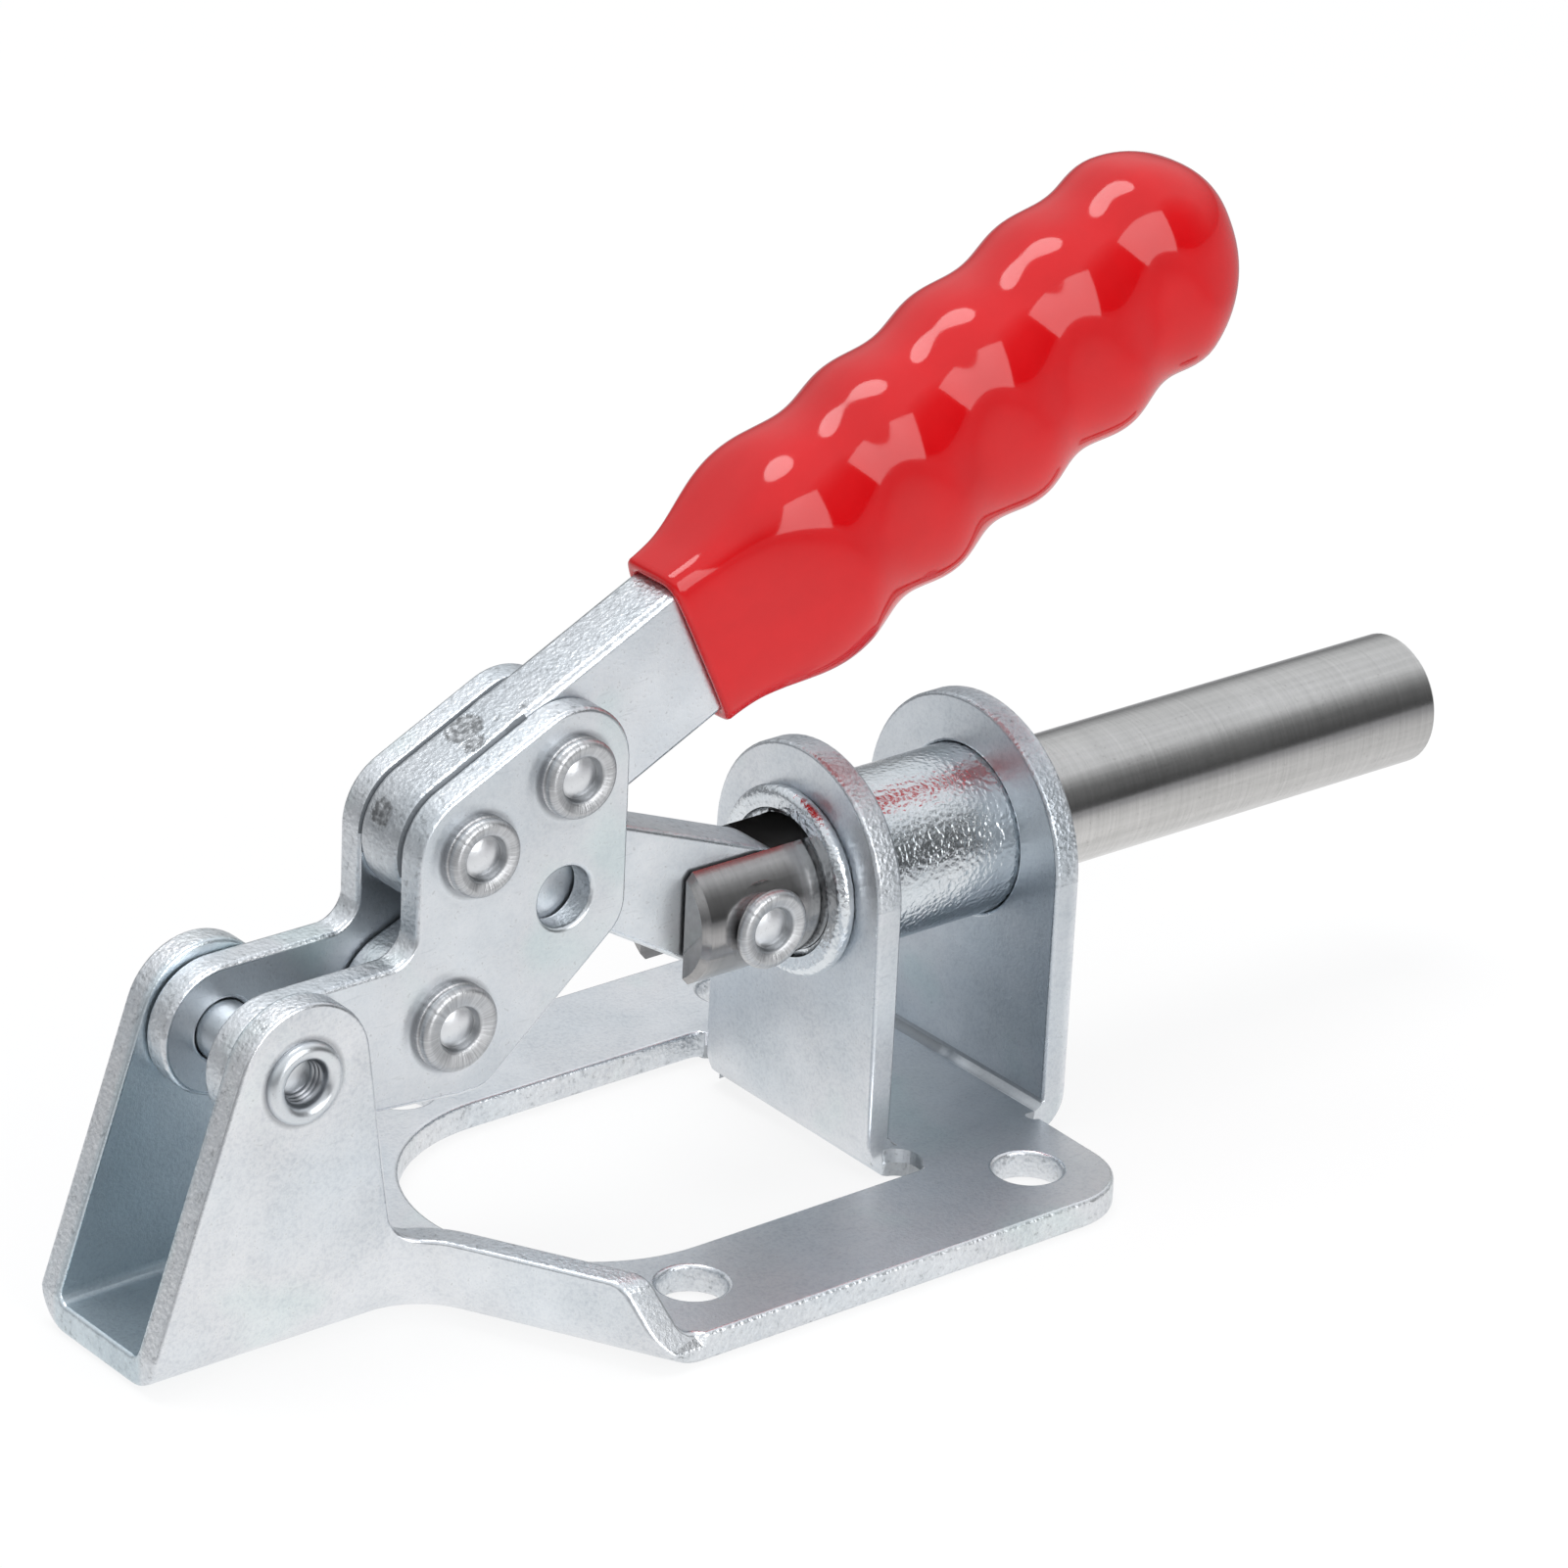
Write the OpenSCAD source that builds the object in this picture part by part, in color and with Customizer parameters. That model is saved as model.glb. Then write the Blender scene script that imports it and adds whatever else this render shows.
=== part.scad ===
// Straight-line toggle clamp with a dipped hand grip.
// Origin: centre of the four mounting holes on the underside.
// +X runs along the plunger to its tip, +Z is up, -Y is the side of the rolled rivet heads.
// All sizes are in millimetres.

/* [Base sheet] */
// Thickness of the pressed base sheet
sheet_t = 2.6; // [2.5:0.05:2.7]
// Outer radius of every bend in the sheet
bend_r = 3.6; // [3.4:0.1:4]
// Width of the front plate
plate_w = 56; // [55:0.5:58]
// Front edge of the plate ahead of the hole pattern
front_x = 25; // [24.8:0.1:25.4]
// Rounding of the two front corners
corner_r = 6.5; // [4:0.5:8]
// Mounting hole spacing along the plunger
hole_dx = 36.3; // [35:0.1:37]
// Mounting hole spacing across the plate
hole_dy = 41.1; // [40:0.1:42]
// Mounting hole diameter
hole_d = 5.9; // [5:0.1:6.5]
// Width of the opening in the plate
opening_w = 31; // [28:0.5:32]
// Centre of the opening's round rear end
opening_x = -14; // [-15:0.5:-12]
// Round notch radius beside the rear tab
notch_r = 2.15; // [1.6:0.05:2.3]

/* [Diagonal side walls] */
// Angle between the side walls and the plunger axis
arm_a = 61.25; // [58:0.25:64]
// Where the side walls reach the plate's side edges
arm_x = -26.7; // [-28:0.1:-26]
// Height of the side walls
flange_h = 7.4; // [6.4:0.1:8]
// Plan radius where a side wall meets the channel
arm_fillet_r = 6; // [4:0.5:8]
// Radius of the side wall's upper front corner
arm_end_r = 2; // [1:0.25:2.5]

/* [Rear channel] */
// Rear end of the channel
rear_x = -63; // [-65:0.5:-61]
// Clear width between the two ears
ear_gap = 11.5; // [11.4:0.1:12]
// Radius of the ears' round tops
ear_r = 6.4; // [6:0.1:7]
// Offset of the round tops' centre ahead of the ear pivot
ear_dx = 0.25; // [0:0.05:0.5]
// Offset of the round tops' centre above the ear pivot
ear_dz = 0.35; // [0:0.05:0.5]
// Foot of the ears' front edges at the underside
ear_foot_x = -38.7; // [-39.5:0.1:-38]
// Fillet between an ear's front edge and the side wall
ear_fillet_r = 3; // [1:0.5:4]

/* [Bush tabs] */
// Rear face of the rear tab
tab1_x = 8; // [7.5:0.1:9]
// Width of the rear tab
tab1_w = 22.4; // [21:0.2:23]
// Height of the rear tab's arc centre
tab1_z = 25.4; // [24:0.1:26]
// Front face of the front tab
tab2_x = 29; // [28.9:0.05:29.2]
// Width of the front tab
tab2_w = 25.7; // [24:0.1:27]
// Height of the front tab's arc centre
tab2_z = 23.7; // [23:0.1:24.5]
// Relief radius at the front tab's root
relief_r = 0.8; // [0.5:0.1:1.2]

/* [Plunger and bush] */
// Height of the plunger axis
axis_z = 24.5; // [24.3:0.1:24.7]
// Plunger diameter
plunger_d = 12; // [11.5:0.1:12]
// Front end of the plunger
plunger_x1 = 77.7; // [70:0.5:85]
// Rear end of the plunger
plunger_x0 = -6.3; // [-6.8:0.1:-5.8]
// Chamfer at both ends of the plunger
plunger_ch = 0.6; // [0.3:0.1:1]
// Width of the fork slot
slot_w = 5.8; // [5.8:0.05:6]
// Front end of the fork slot
slot_x = 11; // [10.6:0.2:16]
// Distance of the rivet's spot faces from the middle
spot_y = 4.9; // [4.7:0.1:5]
// Wall radius of the threaded hole in the front end
thread_r = 3.4; // [3:0.1:4]
// Depth of the threaded hole
thread_depth = 22; // [12:1:30]
// Bore diameter of the guide bush
bush_bore = 12.1; // [12.05:0.01:12.2]
// Outside diameter of the bush barrel
bush_d = 15.2; // [15:0.1:15.6]
// Thickness of the rolled bush lips
lip_t = 1.7; // [1.3:0.1:1.9]

/* [Pivots] */
// Ear pivot, along the plunger
pivot_a_x = -48.95; // [-49.4:0.05:-48.5]
// Ear pivot, height
pivot_a_z = 24.65; // [24.4:0.05:24.9]
// Link pivot in the side plates, along the plunger
pivot_b_x = -32.26; // [-32.4:0.02:-32.1]
// Link pivot in the side plates, height
pivot_b_z = 23.98; // [23.9:0.02:24.1]
// Lower handle rivet, along the plunger
pivot_d_x = -30.06; // [-30.2:0.02:-29.9]
// Lower handle rivet, height
pivot_d_z = 38.71; // [38.6:0.01:38.9]
// Spacing of the two handle rivets
rivet_pitch = 10.6; // [10.2:0.1:11]
// Shank diameter of the rivets
shank_d = 5.2; // [4.8:0.1:5.4]
// Head diameter of the rivets
head_d = 7.1; // [6.8:0.1:7.4]
// Height of the rivet heads
head_h = 1.5; // [1.2:0.05:1.7]
// Height of the plunger rivet's heads above their spot faces
plunger_head_h = 2.5; // [2.3:0.05:2.7]
// Rounding of a rolled head's rim
rim_r = 0.55; // [0.4:0.05:0.6]
// Radius of the recess inside a rolled rivet head
recess_r = 1.85; // [1.6:0.05:2.1]
// Rise of the small dome in the recess
dome_h = 0.35; // [0.2:0.05:0.45]
// Bore radius of the hollow ear pivot
tube_r = 1.55; // [1.3:0.05:1.7]
// Radius of the wider mouth at both ends of that bore
mouth_r = 1.95; // [1.8:0.05:2.1]
// Play on radius where a moving piece turns on a rivet
run_fit = 0.05; // [0.03:0.01:0.08]

/* [Side plates] */
// Thickness of each side plate
side_t = 2.7; // [2.6:0.02:2.72]
// Gap between the two side plates
side_gap = 5.6; // [5.56:0.02:5.6]
// Outline radius round the ear pivot
lobe_a_r = 5.85; // [5.4:0.05:6]
// Outline radius round the handle rivets
lobe_d_r = 5.85; // [5.4:0.05:6]
// Lower front corner of the side plates, along the plunger
toe_x = -29.7; // [-30.5:0.1:-29.5]
// Height of the lower edge's corner circles
toe_z = 20; // [19.5:0.1:20.5]
// Rounding of the lower front corner
toe_r = 2.9; // [2.5:0.1:3]
// Rounding of the upright rear edge's foot
heel_r = 3; // [2:0.5:3]
// Height of the front corner's centre
nose_z = 30.9; // [30:0.1:32]
// Rounding of the front corner
nose_r = 4; // [3:0.5:4.5]
// Fillet between the ear lobe's deck and the upright rear edge
deck_fillet_r = 2.6; // [1:0.2:3]
// Open hole above the link, along the plunger
window_x = -21; // [-21.5:0.1:-20.5]
// Open hole above the link, height
window_z = 32.4; // [32:0.1:33]
// Diameter of the open hole above the link
window_d = 5.4; // [5:0.1:6]

/* [Link] */
// Thickness of the link
link_t = 5.2; // [5:0.05:5.2]
// Radius of the link's two eyes
eye_r = 5.8; // [5.4:0.1:5.9]
// Half width of the link at its knee
knee_r = 4.3; // [4:0.1:4.5]
// Height of the knee above the plunger axis
knee_h = 7.9; // [7.6:0.1:8]
// Fillet in the link's lower bend
knee_fillet_r = 4; // [2:0.5:5]

/* [Handle] */
// Angle of the handle above the plunger axis
handle_a = 25.8; // [25:0.1:26.5]
// Width of the handle bar
bar_w = 13.3; // [13:0.1:13.6]
// Offset of the bar below the line of its rivets
bar_drop = 0.6; // [0.4:0.1:0.8]
// Distance from the lower rivet at which the bar has its full width
bar_full = 9; // [8:0.5:10]
// Distance of the bar's buried end from the grip's tip
bar_end = 12; // [11:0.5:16]
// Distance from the lower rivet to the grip's mouth
grip_s0 = 26.4; // [24:0.2:28]
// Length of the grip
grip_l = 63.2; // [58:0.2:66]
// Half height of the grip
grip_h = 10.7; // [10:0.1:11.5]
// Half width of the grip
grip_w = 7.8; // [7.2:0.1:8.4]
// Spacing of the finger grooves
groove_pitch = 10.35; // [9.8:0.05:10.6]
// Depth of the finger grooves on the underside
groove_d = 1; // [0.4:0.1:1.3]
// How far the grip's closed end hangs below its middle line
end_sag = 0.45; // [0:0.05:0.6]
// Wall of the grip beside the bar at its mouth
mouth_t = 0.9; // [0.7:0.1:1.1]
// Wall of the grip above and below the bar at its mouth
mouth_h = 1.4; // [1.1:0.1:1.6]

/* [Hidden] */
$fn = 48;
eps = 0.02;
zinc = [0.78, 0.8, 0.82];
steel = [0.6, 0.61, 0.62];
red = [0.8, 0.08, 0.07];

// Channel and side wall layout
ear_y = ear_gap / 2 + sheet_t;
half_w = plate_w / 2;
arm_back_x = arm_x - (half_w - ear_y) / tan(arm_a);
arc_x = arm_back_x - arm_fillet_r * tan(arm_a / 2);
arc_y = ear_y + arm_fillet_r;
floor_in = arm_fillet_r + bend_r;
ear_h = pivot_a_z + 2 * ear_r;
beyond = 2 * plate_w;

// Pivot points in the side view
pa = [pivot_a_x, pivot_a_z];
pb = [pivot_b_x, pivot_b_z];
pc = [0, axis_z];
pd = [pivot_d_x, pivot_d_z];
hu = [cos(handle_a), sin(handle_a)];
hn = [-sin(handle_a), cos(handle_a)];
pe = pd + rivet_pitch * hu;
window = [window_x, window_z];
plate_y = side_gap / 2 + side_t;
shank_r = shank_d / 2;
head_r = head_d / 2;
fit = 0.02;

// Outward unit normal of the outer tangent from circle a to circle b,
// each given as [x, y, r], with the outside on the right of the way
function tangent_n(a, b) =
    let (d = [b[0] - a[0], b[1] - a[1]], l = norm(d), c = (a[2] - b[2]) / l,
        s = sqrt(1 - c * c))
    [d[0] / l * c + d[1] / l * s, d[1] / l * c - d[0] / l * s];

// Circle of a belt, from a point of the side view and a radius
function disc(p, r) = [p[0], p[1], r];

// Closed belt of straight tangents round circles listed anticlockwise
module belt(c) {
    n = len(c);
    polygon([for (i = [0:n - 1], e = [0, 1])
        let (a = c[i], b = c[(i + 1) % n], m = tangent_n(a, b), p = e == 0 ? a : b)
        [p[0] + p[2] * m[0], p[1] + p[2] * m[1]]]);
    for (p = c)
        if (p[2] > 0)
            translate([p[0], p[1]])
                circle(r = p[2]);
}

// Fill of an inner corner at p between the edge directions u and v,
// v anticlockwise of u
module corner_fill(p, u, v, r) {
    half = acos(u * v) / 2;
    l = r / tan(half);
    c = p + (u + v) / norm(u + v) * r / sin(half);
    difference() {
        polygon([p - u - v, p + u * l - v, p + u * l, c, p + v * l, p + v * l - u]);
        translate(c)
            circle(r = r + eps);
    }
}

// Side view outline raised to a solid centred on the middle plane
module across(w) {
    rotate([90, 0, 0])
        linear_extrude(height = w, center = true)
            children();
}

// Cross-pin shape centred on the middle plane at side view point p
module pin(p, r, w) {
    translate([p[0], 0, p[1]])
        rotate([90, 0, 0])
            cylinder(r = r, h = w, center = true);
}

// Upright wall, its bend and a strip of floor, from the wall's outer face inwards;
// the inset keeps a joining piece just inside its neighbour's faces
module wall_profile(h, inset = 0) {
    translate([inset, bend_r])
        square([sheet_t - 2 * inset, h - bend_r]);
    translate([bend_r, inset])
        square([1, sheet_t - 2 * inset]);
    intersection() {
        square(bend_r);
        translate([bend_r, bend_r])
            difference() {
                circle(r = bend_r - inset);
                circle(r = bend_r - sheet_t + inset);
            }
    }
}

// Flat floor of the base in plan
module floor_plan() {
    back = [arc_x + floor_in * sin(arm_a), arc_y - floor_in * cos(arm_a)];
    side_x = back[0] + (half_w - back[1]) / tan(arm_a);
    difference() {
        union() {
            belt([[front_x - corner_r, -half_w + corner_r, corner_r],
                [front_x - corner_r, half_w - corner_r, corner_r],
                [side_x, half_w, 0], [back[0], back[1], 0],
                [back[0], -back[1], 0], [side_x, -half_w, 0]]);
            difference() {
                translate([arc_x, -back[1]])
                    square([back[0] - arc_x + 1, 2 * back[1]]);
                for (s = [-1, 1])
                    translate([arc_x, s * arc_y])
                        circle(r = floor_in);
            }
            translate([rear_x, -ear_y + bend_r])
                square([arc_x - rear_x, 2 * (ear_y - bend_r)]);
            translate([front_x - 2, -tab2_w / 2])
                square([tab2_x - bend_r - front_x + 2, tab2_w]);
        }
        opening_plan();
        for (x = [-1, 1], y = [-1, 1])
            translate([x * hole_dx / 2, y * hole_dy / 2])
                circle(d = hole_d);
        for (s = [-1, 1])
            translate([front_x, s * (tab2_w / 2 + relief_r * 0.7)])
                circle(r = relief_r);
    }
}

// Opening from which the rear tab is bent up
module opening_plan() {
    notch_x = tab1_x + bend_r - notch_r + 0.3;
    translate([opening_x, -opening_w / 2])
        square([notch_x - opening_x, opening_w]);
    translate([opening_x, 0])
        circle(d = opening_w);
    translate([opening_x, -tab1_w / 2])
        square([tab1_x + bend_r - opening_x, tab1_w]);
    for (s = [-1, 1])
        translate([notch_x, s * (tab1_w + opening_w) / 4])
            circle(r = (opening_w - tab1_w) / 4);
}

// Side view outline of an ear with the low side wall ahead of it
module ear_outline() {
    foot = [ear_foot_x, 0];
    top_disc = disc(pa + [ear_dx, ear_dz], ear_r);
    m = tangent_n(disc(foot, 0), top_disc);
    up = [-m[1], m[0]];
    top = flange_h - eps;
    corner = foot + up * top / up[1];
    low = foot - up;
    belt([[rear_x - 1, low[1], 0], disc(low, 0), top_disc,
        [rear_x, 3.2, 0], [rear_x - 1, 3.2, 0]]);
    translate([foot[0] - 5, low[1]])
        square([45, top - low[1]]);
    corner_fill(corner, [1, 0], up, ear_fillet_r);
}

// Cross view outline that rounds off the side wall's front end
module arm_end_outline() {
    belt([[0, -1, 0], [0, flange_h, 0],
        [-half_w + 4.8, flange_h - arm_end_r, arm_end_r],
        [-half_w, 1.4, 0], [-half_w, -1, 0]]);
}

// Wall of the near side: channel ear, plan bend and diagonal side wall
module side_wall() {
    intersection() {
        translate([rear_x, -ear_y, 0])
            rotate([90, 0, 90])
                linear_extrude(height = arc_x - rear_x)
                    wall_profile(ear_h);
        across(beyond)
            ear_outline();
    }
    intersection() {
        translate([arc_x, -arc_y, 0])
            rotate([0, 0, 89 - arm_a])
                rotate_extrude(angle = arm_a + 2)
                    translate([arm_fillet_r, 0])
                        wall_profile(ear_h, eps);
        across(beyond)
            ear_outline();
    }
    intersection() {
        translate([arc_x, -arc_y, 0])
            rotate([0, 0, -arm_a])
                translate([2 * eps, arm_fillet_r, 0])
                    rotate([90, 0, 90])
                        linear_extrude(height = half_w)
                            wall_profile(flange_h + 1, eps / 2);
        translate([rear_x, 0, 0])
            rotate([90, 0, 90])
                linear_extrude(height = beyond)
                    arm_end_outline();
    }
}

// Upright tab with a round top, its outer face at x
module bush_tab(x, side, w, z) {
    intersection() {
        translate([x, 0, 0])
            scale([side, 1, 1])
                across(w)
                    wall_profile(z + w);
        translate([x - 12, 0, 0])
            rotate([90, 0, 90])
                linear_extrude(height = 24) {
                    translate([-w / 2, 0])
                        square([w, z]);
                    translate([0, z])
                        circle(d = w);
                }
    }
}

// Near half of the floor with its side wall
module base_half() {
    linear_extrude(height = sheet_t)
        intersection() {
            floor_plan();
            translate([rear_x - 1, -half_w - 1])
                square([tab2_x - rear_x + 2, half_w + 1]);
        }
    side_wall();
}

module base() {
    color(zinc)
    difference() {
        union() {
            base_half();
            mirror([0, 1, 0])
                base_half();
            bush_tab(tab1_x, 1, tab1_w, tab1_z);
            bush_tab(tab2_x, -1, tab2_w, tab2_z);
        }
        pin(pa, shank_r + fit, beyond);
        translate([tab1_x - 5, 0, axis_z])
            rotate([0, 90, 0])
                cylinder(d = bush_d + 2 * fit, h = 30);
    }
}

// Bush profile, radius outwards and length upwards
module bush_profile() {
    l = tab2_x - tab1_x;
    r = bush_d / 2;
    b = bush_bore / 2;
    difference() {
        union() {
            translate([b, -lip_t])
                square([r - b, l + 2 * lip_t]);
            for (z = [-lip_t / 2, l + lip_t / 2])
                translate([r, z])
                    circle(d = lip_t);
        }
        for (z = [-lip_t, l + lip_t])
            translate([b, z])
                circle(r = 0.55);
    }
}

module guide_bush() {
    color(steel)
    translate([tab1_x, 0, axis_z])
        rotate([0, 90, 0])
            rotate_extrude()
                bush_profile();
}

module plunger() {
    r = plunger_d / 2;
    l = plunger_x1 - plunger_x0;
    color(steel)
    difference() {
        translate([plunger_x0, 0, axis_z])
            rotate([0, 90, 0])
                rotate_extrude()
                    polygon([[0, 0], [r - plunger_ch, 0], [r, plunger_ch],
                        [r, l - plunger_ch], [r - plunger_ch, l], [0, l]]);
        translate([plunger_x0 - 1, -slot_w / 2, axis_z - 10])
            cube([slot_x - plunger_x0 + 1, slot_w, 20]);
        pin(pc, shank_r + fit, 20);
        for (s = [-1, 1])
            translate([0, s * (spot_y + 5), 0])
                pin(pc, head_r + 0.1, 10);
        translate([plunger_x1 - thread_depth, 0, axis_z])
            rotate([0, 90, 0])
                cylinder(r = thread_r, h = thread_depth + 1);
        translate([plunger_x1 - 0.9, 0, axis_z])
            rotate([0, 90, 0])
                cylinder(r1 = thread_r - 0.1, r2 = thread_r + 0.9, h = 1);
    }
}

// Side view outline of the link
module link_outline() {
    knee = [(pb[0] + pc[0]) / 2, axis_z + knee_h, knee_r];
    cb = disc(pb, eye_r);
    cc = disc(pc, eye_r);
    nb = tangent_n(cb, knee);
    nc = tangent_n(knee, cc);
    q = [nc[1] - nb[1], nb[0] - nc[0]] / (nb[0] * nc[1] - nb[1] * nc[0]);
    corner = [knee[0], knee[1]] + knee_r * q;
    belt([cb, knee]);
    belt([knee, cc]);
    corner_fill(corner, [nb[1], -nb[0]], [-nc[1], nc[0]], knee_fillet_r);
}

module link() {
    color(zinc)
    difference() {
        across(link_t)
            link_outline();
        pin(pb, shank_r + run_fit, 20);
        pin(pc, shank_r + fit, 20);
    }
}

// Side view outline of a side plate
module side_outline() {
    left = pd[0] - lobe_d_r;
    right = pe[0] + lobe_d_r;
    deck = pa[1] + lobe_a_r;
    difference() {
        union() {
            belt([[left + heel_r, toe_z + 1.5, heel_r], [toe_x, toe_z, toe_r],
                [right - nose_r, nose_z, nose_r], disc(pe, lobe_d_r), disc(pd, lobe_d_r)]);
            belt([disc(pa, lobe_a_r), [toe_x - 1.3, toe_z, toe_r],
                [toe_x - 1.3, deck - 2, 2]]);
            corner_fill([left, deck], [0, 1], [-1, 0], deck_fillet_r);
        }
        translate(window)
            circle(d = window_d);
        translate(pa)
            circle(r = shank_r + run_fit);
        for (p = [pb, pd, pe])
            translate(p)
                circle(r = shank_r + fit);
    }
}

module near_plate() {
    color(zinc)
    translate([0, -(side_gap + side_t) / 2, 0])
        across(side_t)
            side_outline();
}

module far_plate() {
    color(zinc)
    translate([0, (side_gap + side_t) / 2, 0])
        across(side_t)
            side_outline();
}

// Side view outline of the flat handle bar
module bar_outline() {
    r = bar_w / 2;
    low = pd + bar_full * hu - bar_drop * hn;
    top = pd + (grip_s0 + grip_l - bar_end) * hu - bar_drop * hn;
    belt([disc(pd, r - bar_drop - 0.1), disc(low, r), disc(top, r)]);
}

// Flat bar of width w, also the room for it inside the grip
module bar_solid(w) {
    across(w)
        bar_outline();
}

module handle_bar() {
    color(zinc)
    difference() {
        bar_solid(side_gap);
        for (p = [pd, pe])
            pin(p, shank_r + fit, 20);
    }
}

// Smooth step from 0 at a to 1 at b
function ease(a, b, x) = let (t = min(1, max(0, (x - a) / (b - a)))) t * t * (3 - 2 * t);

// Round-off of the grip's closed end, 1 along the body and 0 at the tip
function tip(s) = let (t = max(0, (s - (grip_l - 11)) / 11)) sqrt(max(0, 1 - t * t));

// Groove wave, 1 in the middle of a groove
function groove(s) =
    s < groove_pitch * 1.36 || s > groove_pitch * 5.36 ? 0
    : 0.5 + 0.5 * cos(360 * (s / groove_pitch - 0.86));

// Share of the groove depth at height q of the section, deepest underneath
function share(q) = 0.65 - 0.22 * q + 0.13 * q * q;

// How far the grip's section at s lies below its middle line
function sag(s) = end_sag * ease(grip_l - 7, grip_l + 11, s);

// Half height, half width and squareness of the grip's section at s from its mouth
function half_h(s) = bar_w / 2 + mouth_h + (grip_h - bar_w / 2 - mouth_h) * ease(2.5, 14, s);
function half_y(s) = side_gap / 2 + mouth_t + (grip_w - side_gap / 2 - mouth_t) * ease(0, 15, s);
function square_n(s) = 6 - 3.6 * ease(0, 16, s);

// Point of the grip's skin at s and section angle a
function skin(s, a) =
    let (n = square_n(s), c = cos(a), q = sin(a), h = half_h(s), w = half_y(s),
        k = pow(pow(abs(c), n) + pow(abs(q), n), -1 / n),
        d = groove_d * groove(s) * share(q),
        y = c * k * w * tip(s) - sign(c) * abs(c) * d,
        v = q * k * h * tip(s) - q * d - sag(s))
    let (o = pd + (grip_s0 + s) * hu + (v - bar_drop) * hn)
    [o[0], y, o[1]];

module grip_body() {
    m = 40;
    body = [for (i = [0:41]) i * (grip_l - 11) / 41];
    cap = [for (i = [1:8]) grip_l - 11 + 11 * sin(i * 10.4)];
    st = concat(body, cap);
    k = len(st);
    end = pd + (grip_s0 + grip_l) * hu - (bar_drop + sag(grip_l)) * hn;
    start = pd + grip_s0 * hu - bar_drop * hn;
    pts = concat([for (s = st, j = [0:m - 1]) skin(s, j * 360 / m)],
        [[start[0], 0, start[1]], [end[0], 0, end[1]]]);
    sides = [for (i = [0:k - 2], j = [0:m - 1], e = [0, 1])
        let (a = i * m + j, b = i * m + (j + 1) % m)
        e == 0 ? [a, b, a + m] : [b, b + m, a + m]];
    lid0 = [for (j = [0:m - 1]) [k * m, (j + 1) % m, j]];
    lid1 = [for (j = [0:m - 1]) [k * m + 1, (k - 1) * m + j, (k - 1) * m + (j + 1) % m]];
    polyhedron(points = pts, faces = concat(sides, lid0, lid1), convexity = 6);
}

module grip() {
    color(red)
    difference() {
        grip_body();
        bar_solid(side_gap);
    }
}

// Section of a rivet head of height h on the plane z = 0, domed, or rolled round
// a recess with a small dome in it
module head_profile(r, h, rolled, recess = recess_r) {
    big = (r * r + h * h) / (2 * h);
    floor_h = h - 0.6 * head_h;
    dome_r = recess * 0.75;
    small = (dome_r * dome_r + dome_h * dome_h) / (2 * dome_h);
    if (rolled) {
        intersection() {
            union() {
                translate([r - rim_r, h - rim_r])
                    circle(r = rim_r);
                polygon([[0, 0], [r, 0], [r, h - rim_r], [r - rim_r, h - rim_r / 20],
                    [recess, h - 0.3 * head_h], [0.92 * recess, floor_h], [0, floor_h]]);
                translate([0, floor_h + dome_h - small])
                    circle(r = small);
            }
            square([r, h]);
        }
    } else {
        intersection() {
            translate([0, h - big])
                circle(r = big);
            square([r, h]);
        }
    }
}

// Rivet through side view point p, its heads on faces at half width w
module rivet(p, w, r, h = head_h) {
    translate([p[0], 0, p[1]])
        rotate([90, 0, 0]) {
            cylinder(r = shank_r, h = 2 * w, center = true);
            translate([0, 0, w])
                rotate_extrude()
                    right_half()
                        head_profile(r, h, true);
            mirror([0, 0, 1])
                translate([0, 0, w])
                    rotate_extrude()
                        right_half()
                            head_profile(r, h, false);
        }
}

module right_half() {
    intersection() {
        children();
        translate([0, -20])
            square([20, 40]);
    }
}

module base_pivot_rivet() {
    color(zinc)
    difference() {
        translate([pa[0], 0, pa[1]])
            rotate([90, 0, 0])
                for (s = [0, 1])
                    mirror([0, 0, s]) {
                        cylinder(r = shank_r, h = ear_y);
                        translate([0, 0, ear_y])
                            rotate_extrude()
                                right_half()
                                    head_profile(head_r + 0.25, head_h, true, mouth_r + 0.4);
                    }
        pin(pa, tube_r, beyond);
        for (s = [-1, 1])
            translate([0, s * (ear_y + 4), 0])
                pin(pa, mouth_r, 10);
    }
}

module link_rivet() {
    color(zinc)
    rivet(pb, plate_y, head_r + 0.25);
}

module handle_rivet_lower() {
    color(zinc)
    rivet(pd, plate_y, head_r - 0.1);
}

module handle_rivet_upper() {
    color(zinc)
    rivet(pe, plate_y, head_r - 0.05);
}

module plunger_rivet() {
    color(zinc)
    difference() {
        rivet(pc, spot_y, head_r, plunger_head_h);
        eye_room();
    }
}

// Room for the link's eye between the two rivet ends
module eye_room() {
    translate([-10, -slot_w / 2, axis_z - 10])
        cube([20, slot_w, 20]);
}

module link_eye_pin() {
    color(zinc)
    pin(pc, shank_r, link_t);
}

base();
guide_bush();
plunger();
link();
near_plate();
far_plate();
handle_bar();
grip();
base_pivot_rivet();
link_rivet();
handle_rivet_lower();
handle_rivet_upper();
plunger_rivet();
link_eye_pin();
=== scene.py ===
# %% [markdown]
# The object is a straight-line toggle clamp: a pressed steel base, a lever of two side plates with a flat bar and a red
# dipped grip, a link, and a round plunger that slides in a bush. The solids come from the engineering model in one
# shared frame, in metres. This lesson rounds the edges of the pressed pieces, gives each metal its finish, models the
# soft grip as one smooth skin, and sets up a plain studio.

# %% Load the frame
import bpy, bmesh, math
from mathutils import Matrix, Vector
from mathutils.bvhtree import BVHTree


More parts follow.
